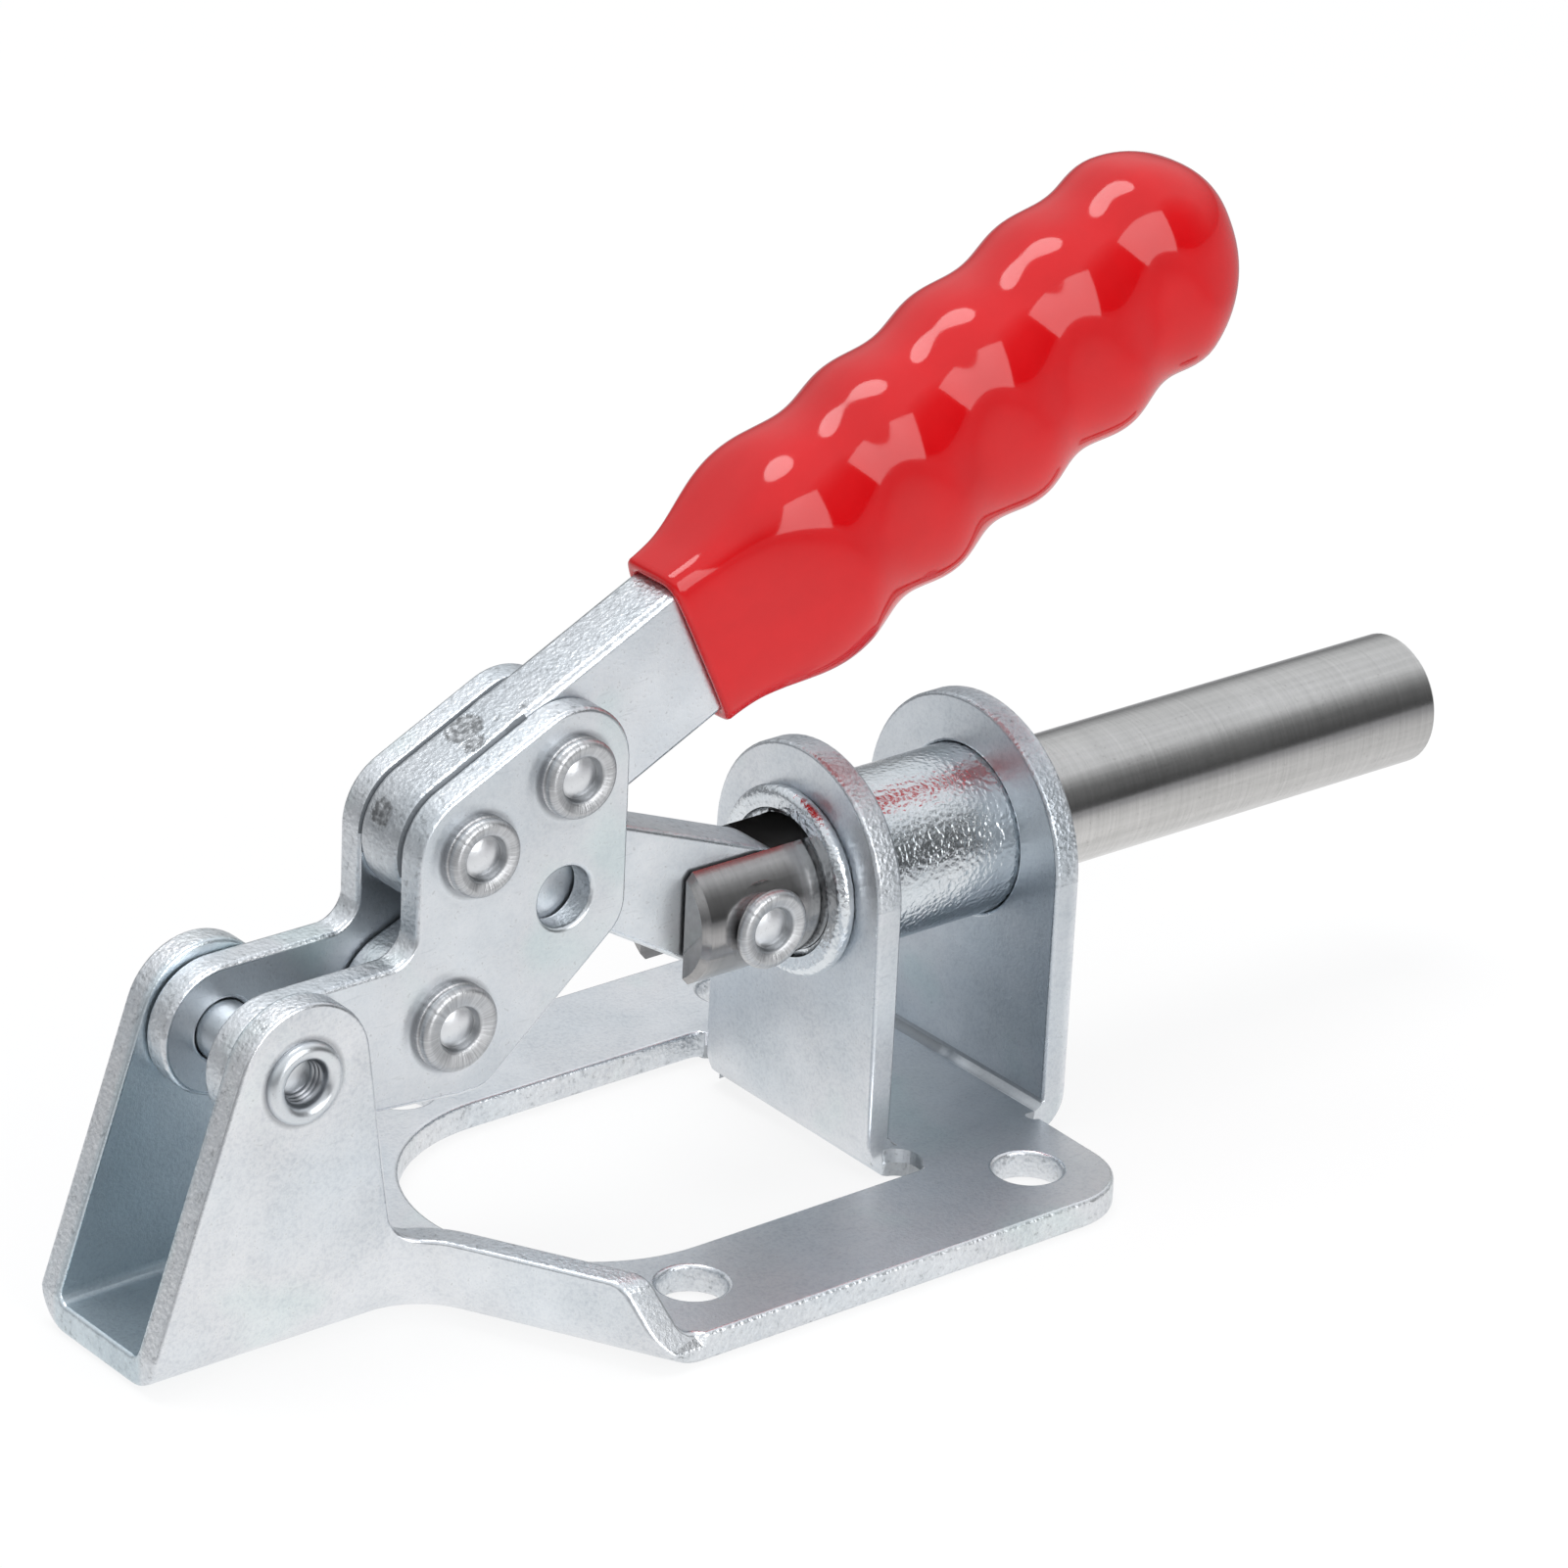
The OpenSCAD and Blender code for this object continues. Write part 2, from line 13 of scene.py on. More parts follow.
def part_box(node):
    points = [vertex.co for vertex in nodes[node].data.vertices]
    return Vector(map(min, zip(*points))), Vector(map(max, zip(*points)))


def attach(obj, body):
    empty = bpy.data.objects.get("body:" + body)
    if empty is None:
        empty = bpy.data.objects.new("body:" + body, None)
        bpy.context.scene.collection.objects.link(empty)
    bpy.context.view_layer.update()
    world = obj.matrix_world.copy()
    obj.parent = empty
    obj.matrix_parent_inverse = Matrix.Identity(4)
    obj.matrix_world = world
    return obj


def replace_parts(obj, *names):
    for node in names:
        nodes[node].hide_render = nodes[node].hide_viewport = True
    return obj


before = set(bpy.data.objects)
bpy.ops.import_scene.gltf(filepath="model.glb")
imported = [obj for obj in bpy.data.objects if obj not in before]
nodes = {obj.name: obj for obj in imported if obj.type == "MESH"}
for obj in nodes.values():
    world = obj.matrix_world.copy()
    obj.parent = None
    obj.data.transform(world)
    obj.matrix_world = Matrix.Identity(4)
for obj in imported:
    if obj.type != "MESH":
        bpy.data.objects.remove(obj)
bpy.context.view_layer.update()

# %% [markdown]
# The rivets' axes lie sideways, so a rivet's place is a point in the clamp's middle plane: how far along, and how far
# up. Several steps need these points, both to place a rivet and to colour the sheet round it, so they are named once.

# %% Shared places and sizes, in millimetres
EAR_PIVOT, LINK_RIVET = (-48.95, 24.65), (-32.26, 23.98)
LOWER_RIVET, UPPER_RIVET = (-30.06, 38.71), (-20.516, 43.323)
PLUNGER_RIVET = (0, 24.5)
SHANK = 2.6
print("rivet axes, mm:", EAR_PIVOT, LINK_RIVET, LOWER_RIVET, UPPER_RIVET, PLUNGER_RIVET)

# %% [markdown]
# The camera comes first, because every later choice is judged through it. It stands to the left of the clamp and above
# it, with a long lens, which keeps the perspective mild. The three angles and the distance were solved from points
# that lie on known places of the object, so the axes are written as plain turns about the upright.

# %% Camera
AZIMUTH, ELEVATION, ROLL = map(math.radians, (-39.759, 24.562, 2.76))
AIM = Vector((0.008, 0, 0))
ASIDE, UP, DISTANCE = -0.000074, -0.030205, 0.60707
SENSOR, LENS, NEAREST, FURTHEST = 36, 160.886, 0.01, 20


def placed(name, data):
    """A new object in the scene with the given mesh, lamp or camera."""
    made = bpy.data.objects.new(name, data)
    bpy.context.scene.collection.objects.link(made)
    return made


def camera_axes(azimuth, elevation, roll):
    """The directions to the picture's right and top, and from the object back to the camera."""
    reach = math.cos(elevation)
    back = Vector((math.sin(azimuth) * reach, -math.cos(azimuth) * reach, math.sin(elevation)))
    right = Vector((math.cos(azimuth), math.sin(azimuth), 0))
    up = back.cross(right)
    return right * math.cos(roll) + up * math.sin(roll), up * math.cos(roll) - right * math.sin(roll), back


right, up, back = camera_axes(AZIMUTH, ELEVATION, ROLL)
camera = placed("camera", bpy.data.cameras.new("camera"))
turn = Matrix((right, up, back)).transposed().to_4x4()
camera.matrix_world = Matrix.Translation(back * DISTANCE - right * ASIDE - up * UP + AIM) @ turn
camera.data.sensor_width, camera.data.lens = SENSOR, LENS
camera.data.clip_start, camera.data.clip_end = NEAREST, FURTHEST
bpy.context.scene.camera = camera
print("camera stands at, mm:", [round(v * 1000, 1) for v in camera.location])

# %% [markdown]
# A material is a small network of nodes. One helper makes a node and sets its values or links, and the others are
# short names for the kinds that come back often: a sum, a change of range, a noise, a mix of two colours.

# %% Helpers for nodes
def feed(tree, value, socket):
    """Links a socket to the input, or sets a plain value on it."""
    if isinstance(value, bpy.types.NodeSocket):
        tree.links.new(value, socket)
    else:
        socket.default_value = value


def node(tree, kind, inputs=None, **settings):
    made = tree.nodes.new("ShaderNode" + kind)
    for name, value in settings.items():
        setattr(made, name, value)
    for key, value in (inputs or {}).items():
        feed(tree, value, made.inputs[key])
    return made


def maths(tree, operation, *values):
    return node(tree, "Math", dict(enumerate(values)), operation=operation).outputs[0]


def vector_maths(tree, operation, *values):
    """A sum of vectors; a length, distance or dot product comes out as a number."""
    made = node(tree, "VectorMath", dict(enumerate(values)), operation=operation)
    return made.outputs["Value" if operation in ("LENGTH", "DISTANCE", "DOT_PRODUCT") else "Vector"]


def remap(tree, value, start, stop, low=0.0, high=1.0, **settings):
    """Low at start, high at stop, and a ramp between them."""
    limits = {"From Min": start, "From Max": stop, "To Min": low, "To Max": high}
    return node(tree, "MapRange", {"Value": value, **limits}, **settings).outputs[0]


def noise(tree, place, scale, detail, roughness=0.5):
    sizes = {"Scale": scale, "Detail": detail, "Roughness": roughness}
    return node(tree, "TexNoise", {"Vector": place, **sizes}).outputs[0]


def stretched(tree, place, scale, rotation=(0.0, 0.0, 0.0)):
    """The place scaled by a different number each way, which draws a noise out into lines."""
    return node(tree, "Mapping", {"Vector": place, "Rotation": rotation, "Scale": scale}).outputs[0]


def blend_colour(tree, factor, a, b, mode="MIX"):
    """Sockets 0, 6 and 7 of a colour mix are its factor and its two colours, and output 2 is the result."""
    return node(tree, "Mix", {0: factor, 6: a, 7: b}, data_type="RGBA", blend_type=mode).outputs[2]


def mark_of(tree, name):
    """A number that the mesh carries for each face or point, by its name."""
    return node(tree, "Attribute", attribute_name=name).outputs["Fac"]


def stain(tree, colour, mask, amount, tone):
    """Lays a tone over the colour by an amount, where the mask is."""
    return blend_colour(tree, maths(tree, "MULTIPLY", mask, amount), colour, tone)


# %% [markdown]
# A group is a network with named inputs and outputs that several materials can share. A material starts from the
# object's own coordinates, so its pattern stays on the piece as it moves, and ends in a shader, which gets a colour, a
# roughness and a bump.

# %% Helpers for groups and materials
def group(name, inputs, outputs):
    """A node group with sockets from {name: (type, default)}; returns the tree, its input node and its output node."""
    tree = bpy.data.node_groups.new(name, "ShaderNodeTree")
    for label, (kind, default) in inputs.items():
        socket = tree.interface.new_socket(name=label, in_out="INPUT", socket_type="NodeSocket" + kind)
        if default is not None:
            socket.default_value = default
    for label, kind in outputs.items():
        tree.interface.new_socket(name=label, in_out="OUTPUT", socket_type="NodeSocket" + kind)
    return tree, tree.nodes.new("NodeGroupInput"), tree.nodes.new("NodeGroupOutput")


def put_out(tree, g_out, **values):
    """Links a group's results to its named outputs."""
    for label, value in values.items():
        tree.links.new(value, g_out.inputs[label])
    print("group", tree.name, "puts out", list(values))


def use(tree, made_group, **inputs):
    """Places a group in a tree with its inputs by name, and gives its outputs."""
    return node(tree, "Group", inputs, node_tree=made_group).outputs


def material(name):
    made = bpy.data.materials.new(name)
    made.use_nodes = True
    tree = made.node_tree
    return made, tree, tree.nodes["Principled BSDF"], node(tree, "TexCoord").outputs["Object"]


def wire(tree, shader, colour, roughness, level, strength, depth, metallic=1.0):
    """Links a colour, a roughness and the height of a bump to the shader, and sets how metallic it is."""
    tree.links.new(colour, shader.inputs["Base Color"])
    tree.links.new(roughness, shader.inputs["Roughness"])
    raised = node(tree, "Bump", {"Strength": strength, "Distance": depth, "Height": level})
    tree.links.new(raised.outputs[0], shader.inputs["Normal"])
    shader.inputs["Metallic"].default_value = metallic


# %% [markdown]
# Zinc plating isn't even. Under a lens it is a fine grain of crystals with broad pale clouds, bright and dark flecks, a
# few dark specks and some hair-thin scratches. One group makes all of that from noise, and every metal piece uses it
# with its own scales.

# %% Group for the plating's grain
grain, g_in, g_out = group(
    "plating_grain",
    {"Position": ("Vector", None), "Fine": ("Float", 2600.0), "Broad": ("Float", 130.0)},
    {"Cloud": "Float", "Speck": "Float", "Scratch": "Float", "Fleck": "Float", "Height": "Float"})
where = g_in.outputs["Position"]
fine = noise(grain, where, g_in.outputs["Fine"], 3.0, 0.65)
broad = noise(grain, where, g_in.outputs["Broad"], 5.0, 0.6)
hair = noise(grain, stretched(grain, where, (420.0, 3000.0, 3000.0), (0.2, 0.45, 0.6)), 1.0, 1.0)
height = maths(grain, "ADD", maths(grain, "MULTIPLY", fine, 0.75), maths(grain, "MULTIPLY", broad, 0.5))
put_out(grain, g_out, Cloud=remap(grain, broad, 0.32, 0.68), Speck=remap(grain, fine, 0.6, 0.74),
        Scratch=remap(grain, hair, 0.69, 0.76), Fleck=remap(grain, fine, 0.3, 0.7), Height=height)

# %% [markdown]
# Where the sheet was sheared, its edge is torn into small facets and pits. The dressed copies below mark those faces
# with a number called cut. This group turns it into a rough pattern with painted glints on the facets and painted
# shade in the pits, and it fades out on the sheet's smooth faces.

# %% Group for the sheared edge
shear, s_in, s_out = group(
    "sheared_edge",
    {"Position": ("Vector", None), "Cut": ("Float", 0.0), "Scale": ("Float", 2400.0)},
    {"Glint": "Float", "Pit": "Float", "Height": "Float"})
where, on_cut = s_in.outputs["Position"], s_in.outputs["Cut"]
cells = node(shear, "TexVoronoi", {"Vector": where, "Scale": s_in.outputs["Scale"], "Randomness": 1.0})
rubbed = noise(shear, where, 1500.0, 4.0, 0.7)
facet_height = maths(shear, "MULTIPLY_ADD", cells.outputs["Distance"], 0.5, rubbed)
# Painted glints on the facets and painted shade in the pits; the height is the bump of the torn facets.
put_out(shear, s_out, Glint=maths(shear, "MULTIPLY", on_cut, remap(shear, rubbed, 0.52, 0.68)),
        Pit=maths(shear, "MULTIPLY", on_cut, remap(shear, rubbed, 0.43, 0.33)),
        Height=maths(shear, "MULTIPLY", on_cut, facet_height))

# %% [markdown]
# Riveting presses the plates together so hard that a faint ring is coined into the sheet round each head. A thin line
# of painted shade lies where the head meets the sheet. The ring group measures the distance from an axis that lies
# sideways through a given point, so one group serves for every head.

# %% Group for the ring round a rivet head, with its painted shade
SIDEWAYS_OUT = (1, 0, 1)
LINE_CORE, LINE_EDGE = 0.00008, 0.00045
DENT_OUT, DENT_HALF = 0.0006, 0.0007

coined_and_shaded, r_in, r_out = group(
    "coined_ring_and_shade",
    {"Position": ("Vector", None), "Centre": ("Vector", None), "Size": ("Float", 0.0037)},
    {"Line": "Float", "Height": "Float"})
offset = vector_maths(coined_and_shaded, "SUBTRACT", r_in.outputs["Position"], r_in.outputs["Centre"])
from_axis = vector_maths(coined_and_shaded, "LENGTH", vector_maths(coined_and_shaded, "MULTIPLY", offset, SIDEWAYS_OUT))
past = maths(coined_and_shaded, "SUBTRACT", from_axis, r_in.outputs["Size"])
off_dent = maths(coined_and_shaded, "ABSOLUTE", maths(coined_and_shaded, "SUBTRACT", past, DENT_OUT))
put_out(coined_and_shaded, r_out, Line=remap(coined_and_shaded, maths(coined_and_shaded, "ABSOLUTE", past), LINE_CORE, LINE_EDGE, 1.0, 0.0),
        Height=remap(coined_and_shaded, off_dent, 0.0, DENT_HALF, -1.0, 0.0, interpolation_type="SMOOTHSTEP"))

# %% [markdown]
# The passivation that follows zinc plating leaves a thin film with a breath of colour: mostly a cold blue, and here and
# there a greenish one. The film group gives a colour to multiply by, from one broad noise.

# %% Group for the passivation film
BLUE_FILM, CLEAR, GREEN_FILM = (0.94, 0.98, 1.0, 1), (1.0, 1.0, 1.0, 1), (0.93, 1.0, 0.99, 1)

film, f_in, f_out = group(
    "passivation_film",
    {"Position": ("Vector", None), "Size": ("Float", 90.0)},
    {"Tint": "Color"})
patch = noise(film, f_in.outputs["Position"], f_in.outputs["Size"], 2.0)
cold = blend_colour(film, remap(film, patch, 0.3, 0.7), BLUE_FILM, CLEAR)
put_out(film, f_out, Tint=blend_colour(film, remap(film, patch, 0.60, 0.72), cold, GREEN_FILM))

# %% [markdown]
# The plated sheet is the main finish. The metal stays fully metallic, and its grey, roughness and bump come from the
# four groups. The plates, the link, the bar, the base and the ear rivet share it with small changes. Faces carry three
# marks from their mesh: cut for a sheared face, rim for a rounded edge, and a third one that asks for painted shade,
# where two surfaces meet and shade would fall.

# %% Plated steel
SPECK_GREY, SCRATCH_GREY, TORN_GREY = (0.30, 0.31, 0.33, 1), (0.40, 0.42, 0.44, 1), (0.36, 0.375, 0.39, 1)
PAINTED_GLINT_GREY, PIT_SHADE_GREY = (0.93, 0.95, 0.97, 1), (0.30, 0.31, 0.32, 1)
PAINTED_SHADE_GREY, CONTACT_SHADE_GREY = (0.24, 0.26, 0.28, 1), (0.22, 0.23, 0.25, 1)
PLATE_DEPTH = 0.00012


def plated(name, dark, pale, roughness, fine=2600.0, bump=0.16, rings=(), ragged=1.0, dimple=0.0, torn=0.12,
           flecks=0.1, shade=None):
    """Plated metal between a dark and a pale grey. Rings are (along, up, radius); shade paints shade into the colour.
    """
    made, tree, shader, place = material(name)
    cut, rim, corner = (mark_of(tree, mark) for mark in ("cut", "rim", "corner"))
    g = use(tree, grain, Position=place, Fine=fine)
    s = use(tree, shear, Position=place, Cut=cut)
    sparkle = remap(tree, g["Fleck"], 0.0, 1.0, 0.5 - flecks, 0.5 + flecks)
    colour = blend_colour(tree, g["Cloud"], (*dark, 1), (*pale, 1))
    colour = blend_colour(tree, 1.0, colour, sparkle, "OVERLAY")
    # Specks, scratches and the torn grey are the plating's and the steel's own; the glints and the pit shade are
    # painted.
    for mask, amount, tone in ((g["Speck"], 0.4, SPECK_GREY), (g["Scratch"], 0.15, SCRATCH_GREY),
                               (cut, torn, TORN_GREY), (s["Glint"], 0.45, PAINTED_GLINT_GREY), (s["Pit"], 0.55, PIT_SHADE_GREY)):
        colour = stain(tree, colour, mask, amount, tone)
    colour = blend_colour(tree, 1.0, colour, use(tree, film, Position=place)["Tint"], "MULTIPLY")
    # Painted shade: faces that carry the shade mark get a darker grey and a rougher surface.
    colour = stain(tree, colour, corner, 0.4, PAINTED_SHADE_GREY)
    # Painted shade from the material's own shade function, such as the base's pocket and trough.
    if shade:
        colour = shade(tree, place, colour)
    level = maths(tree, "MULTIPLY_ADD", s["Height"], 3.4 * ragged, g["Height"])
    if dimple:
        level = maths(tree, "MULTIPLY_ADD", noise(tree, place, 2300.0, 0.6), dimple, level)
    for x, z, size in rings:
        r = use(tree, coined_and_shaded, Position=place, Centre=(x / 1000, 0, z / 1000), Size=size / 1000)
        # Painted shade round each head, and the coined dent in the bump.
        colour = stain(tree, colour, r["Line"], 0.55, CONTACT_SHADE_GREY)
        level = maths(tree, "MULTIPLY_ADD", r["Height"], 0.9, level)
    clouded = maths(tree, "MULTIPLY_ADD", g["Cloud"], -0.05, roughness + 0.02)
    edges = maths(tree, "MULTIPLY_ADD", cut, 0.06, maths(tree, "MULTIPLY", rim, -0.08))
    rough = maths(tree, "MULTIPLY_ADD", corner, 0.2, maths(tree, "ADD", clouded, edges))
    wire(tree, shader, colour, rough, level, bump, PLATE_DEPTH)
    print("finish", name, "has", len(tree.nodes), "nodes")
    return made


# %% [markdown]
# Narrow places on the base get painted shade: the pocket between the two tabs and the trough between the two ears
# are painted darker and a little bluer. A few changes of range on the place make a mask for each.

# %% Painted shade on the base
POCKET_SHADE, TROUGH_SHADE = (0.75, 0.775, 0.795, 1), (0.88, 0.945, 0.965, 1)


def shaded_places(tree, place, colour):
    at = node(tree, "SeparateXYZ", {0: place}).outputs
    aside = maths(tree, "ABSOLUTE", at["Y"])
    between_tabs = maths(tree, "MULTIPLY", remap(tree, at["X"], 0.004, 0.012), remap(tree, at["X"], 0.0288, 0.028))
    pocket = maths(tree, "MULTIPLY", between_tabs, remap(tree, aside, 0.018, 0.012))
    trough = maths(tree, "MULTIPLY", remap(tree, at["X"], -0.036, -0.044), remap(tree, aside, 0.0065, 0.0059))
    # Painted shade in the pocket and the trough.
    colour = blend_colour(tree, pocket, colour, POCKET_SHADE, "MULTIPLY")
    return blend_colour(tree, trough, colour, TROUGH_SHADE, "MULTIPLY")


zinc_base = plated("zinc_base", (0.73, 0.745, 0.77), (0.86, 0.865, 0.885), 0.36, bump=0.30,
                   rings=((*EAR_PIVOT, 3.7),), flecks=0.2, shade=shaded_places)

# %% [markdown]
# The side plates have a ring round each of their three rivets. The link is a little darker. The bush was turned and
# polished before plating, so it is smoother, and the zinc grew on it in soft dimples.

# %% Plates, link and bush
zinc_sheet = plated("zinc_sheet", (0.73, 0.752, 0.78), (0.83, 0.845, 0.87), 0.36, bump=0.22,
                    rings=((*LINK_RIVET, 3.9), (*LOWER_RIVET, 3.6), (*UPPER_RIVET, 3.6)))
zinc_link = plated("zinc_link", (0.67, 0.70, 0.735), (0.84, 0.86, 0.885), 0.36, bump=0.2)
zinc_bush = plated("zinc_bush", (0.62, 0.65, 0.68), (0.82, 0.84, 0.86), 0.17, fine=3000.0, bump=0.45, dimple=1.7)

# %% [markdown]
# The lever's bar shows the press work most. Its narrow edges are torn and grey, and handling has left a few deep nicks
# in the upper one, which lie at set distances along the bar. They are small dents: a distance from each point, made
# ragged by noise, lowers the surface and paints shade into the colour.

# %% Bar finish with its nicks
NICKS = ((-27.46, 0.8, 47.35, 1.6), (-28.09, -1.4, 47.05, 1.0), (-37.46, -1.9, 42.52, 0.5), (-33.58, -2.8, 44.39, 0.5),
         (-23.23, -1.7, 49.4, 0.5), (-25.39, -1.0, 48.35, 0.35), (-9.73, 1.0, 55.93, 0.35), (-35.4, 0.6, 41.3, 1.0))
NICK_EDGE, NICK_WANDER, NICK_DEPTH = 0.35, 0.0009, -6.0
NICK_DEEP_SHADE, NICK_LIGHT_SHADE = (0.16, 0.165, 0.17, 1), (0.60, 0.62, 0.64, 1)

zinc_bar = plated("zinc_bar", (0.75, 0.775, 0.81), (0.90, 0.92, 0.95), 0.34, bump=0.24, ragged=0.9, torn=0.5)
tree = zinc_bar.node_tree
shader = tree.nodes["Principled BSDF"]
place = node(tree, "TexCoord").outputs["Object"]
ragged = noise(tree, place, 1900.0, 3.0)
wander = maths(tree, "SUBTRACT", ragged, 0.5)
deep = 0.0
for x, y, z, size in NICKS:
    away = vector_maths(tree, "DISTANCE", place, (x / 1000, y / 1000, z / 1000))
    away = maths(tree, "MULTIPLY_ADD", wander, NICK_WANDER, away)
    deep = maths(tree, "MAXIMUM", deep, remap(tree, away, size / 1000, (size + NICK_EDGE) / 1000, 1.0, 0.0))
plain_colour = shader.inputs["Base Color"].links[0].from_socket
# Painted shade inside each nick, mottled between a deep and a lighter grey.
nick_shade = blend_colour(tree, remap(tree, ragged, 0.42, 0.64), NICK_DEEP_SHADE, NICK_LIGHT_SHADE)
tree.links.new(stain(tree, plain_colour, deep, 0.85, nick_shade), shader.inputs["Base Color"])
bump_height = shader.inputs["Normal"].links[0].from_node.inputs["Height"]
plain_level = bump_height.links[0].from_socket
tree.links.new(maths(tree, "MULTIPLY_ADD", deep, NICK_DEPTH, plain_level), bump_height)
print("nicks on the bar:", len(NICKS))

# %% [markdown]
# The rivets were upset by a spinning tool, which leaves fine marks that run outwards from the axis on the rolled ring.
# A thin line of painted shade runs round the recess. Each rivet's mesh is made about its own centre, so the distance
# from the axis and the direction come straight from the object's own coordinates.

# %% Rivet finish
RECESS_R = 0.00188
RING_GREY, SPOKE_GREY, RECESS_SHADE = (0.50, 0.505, 0.51, 1), (0.30, 0.30, 0.31, 1), (0.17, 0.18, 0.19, 1)
RIVET_SPECK = (0.28, 0.28, 0.29, 1)

zinc_rivet, tree, shader, place = material("zinc_rivet")
g = use(tree, grain, Position=place, Fine=3000.0)
outwards = vector_maths(tree, "MULTIPLY", place, SIDEWAYS_OUT)
radius = vector_maths(tree, "LENGTH", outwards)
on_ring = remap(tree, radius, 0.0018, 0.0024)
spokes = noise(tree, vector_maths(tree, "NORMALIZE", outwards), 14.0, 3.0, 0.7)
spoked = maths(tree, "MULTIPLY", on_ring, remap(tree, spokes, 0.36, 0.66))
# Painted shade in a thin line round the recess.
from_recess = maths(tree, "ABSOLUTE", maths(tree, "SUBTRACT", radius, RECESS_R))
recess_shade = remap(tree, from_recess, 0.00005, 0.00035, 1.0, 0.0)
colour = blend_colour(tree, g["Cloud"], (0.74, 0.76, 0.78, 1), (0.86, 0.87, 0.89, 1))
for mask, amount, tone in ((on_ring, 0.5, RING_GREY), (spoked, 0.6, SPOKE_GREY), (recess_shade, 0.65, RECESS_SHADE),
                           (g["Speck"], 0.3, RIVET_SPECK)):
    colour = stain(tree, colour, mask, amount, tone)
rough = maths(tree, "MULTIPLY_ADD", g["Cloud"], 0.08, 0.3)
wire(tree, shader, colour, rough, maths(tree, "MULTIPLY_ADD", spoked, 1.2, g["Height"]), 0.22, 0.0001)
print("finish", zinc_rivet.name, "has", len(tree.nodes), "nodes")

# %% [markdown]
# The plunger is bare ground bar. Its wheel ran round it, so the fine lines lie across its length: noise that is
# squeezed along the axis and stretched round it. Fainter scratches run along it. The grey is warmer and darker than the
# zinc, and darker still towards the rear.

# %% Ground steel
GROUND_DARK, GROUND_PALE = (0.49, 0.485, 0.475, 1), (0.66, 0.65, 0.64, 1)
GROUND_SPECK, REAR_TONE = (0.22, 0.21, 0.2, 1), (0.64, 0.64, 0.65, 1)
REAR_FROM, REAR_FULL = 0.020, 0.012

ground_steel, tree, shader, place = material("ground_steel")
g = use(tree, grain, Position=place, Fine=2200.0, Broad=60.0)
round_lines = noise(tree, stretched(tree, place, (3200.0, 120.0, 120.0)), 1.0, 3.0, 0.6)
long_lines = noise(tree, stretched(tree, place, (45.0, 1500.0, 1500.0)), 1.0, 2.0)
lines = maths(tree, "MULTIPLY_ADD", round_lines, 0.5, maths(tree, "MULTIPLY", long_lines, 0.5))
colour = blend_colour(tree, remap(tree, lines, 0.30, 0.70), GROUND_DARK, GROUND_PALE)
colour = stain(tree, colour, g["Speck"], 0.3, GROUND_SPECK)
# Darker towards the rear of the plunger.
along = node(tree, "SeparateXYZ", {0: place}).outputs["X"]
colour = blend_colour(tree, remap(tree, along, REAR_FROM, REAR_FULL), colour, REAR_TONE, "MULTIPLY")
rough = maths(tree, "MULTIPLY_ADD", g["Cloud"], 0.05, 0.17)
wire(tree, shader, colour, rough, maths(tree, "MULTIPLY_ADD", g["Height"], 0.5, lines), 0.05, 0.00005)
print("finish", ground_steel.name, "has", len(tree.nodes), "nodes")

# %% [markdown]
# The grip was made by dipping the warm bar in liquid vinyl. It is a deep even red with a wet gloss; close up the skin
# has a faint orange-peel wave and a few pinholes, and a crease where the dipping left a parting line. One smooth gloss
# layer is enough: a second coat over it would wash the red out.

# %% Dipped red vinyl
dipped_red, tree, shader, place = material("dipped_red")
g = use(tree, grain, Position=place, Fine=1100.0, Broad=70.0)
colour = blend_colour(tree, g["Cloud"], (0.54, 0.003, 0.005, 1), (0.64, 0.005, 0.008, 1))
rough = maths(tree, "MULTIPLY_ADD", g["Speck"], 0.1, 0.09)
seam_away = maths(tree, "ABSOLUTE", mark_of(tree, "seam"))
skin_level = maths(tree, "ADD", noise(tree, place, 260.0, 2.0, 0.4), remap(tree, seam_away, 0.0, 0.3, -1.5, 0.0))
wire(tree, shader, colour, rough, skin_level, 0.06, 0.0003, metallic=0.0)
print("finish", dipped_red.name, "has", len(tree.nodes), "nodes")

# %% [markdown]
# Punched sheet never has a knife edge: the die rolls one side over and plating rounds the rest. The solids are sharp,
# so each pressed piece is shown by a copy of its mesh. The copy is welded, its flat faces are joined, and a narrow
# bevel runs along every sharp edge. On the way each face gets its marks: cut by where its normal points, rim on the
# bevels, and corner where a rule says that the place stays dark.

# %% Helpers that dress a pressed piece
SHARP_ANGLE, FLAT_ANGLE, BEVEL_STEPS = math.radians(28), math.radians(0.3), 3
WELD, SMALL_FACE, FOLDED_BACK, STRAY = 2e-6, 1e-6, -0.2, 0.6
BEND_SHADE, GAP_SHADE = 1.0, 2.2


def joined_faces(mesh, weld):
    """The mesh with its flat faces joined, and its untouched surface as a tree that finds nearest points."""
    work = bmesh.new()
    work.from_mesh(mesh)
    bmesh.ops.remove_doubles(work, verts=work.verts, dist=WELD)
    solid = BVHTree.FromBMesh(work)
    bmesh.ops.remove_doubles(work, verts=work.verts, dist=weld)
    bmesh.ops.dissolve_degenerate(work, edges=work.edges, dist=weld)
    bmesh.ops.dissolve_limit(work, angle_limit=FLAT_ANGLE, verts=work.verts, edges=work.edges)
    return work, solid


def drawn_back(work, solid, low, high, width):
    """Unfolds tiny turned faces, and keeps every point in the solid's box and near its surface."""
    folded = [f for f in work.faces if f.calc_area() < SMALL_FACE and
              f.normal.dot(solid.find_nearest(f.calc_center_median())[1]) < FOLDED_BACK]
    bmesh.ops.collapse(work, edges=list({e for f in folded for e in f.edges}))
    stray = 0
    for vert in work.verts:
        vert.co = Vector(min(max(c, l), h) for c, l, h in zip(vert.co, low, high))
        nearest, normal, index, distance = solid.find_nearest(vert.co)
        if distance > STRAY * width:
            vert.co = nearest
            stray += 1
    return stray


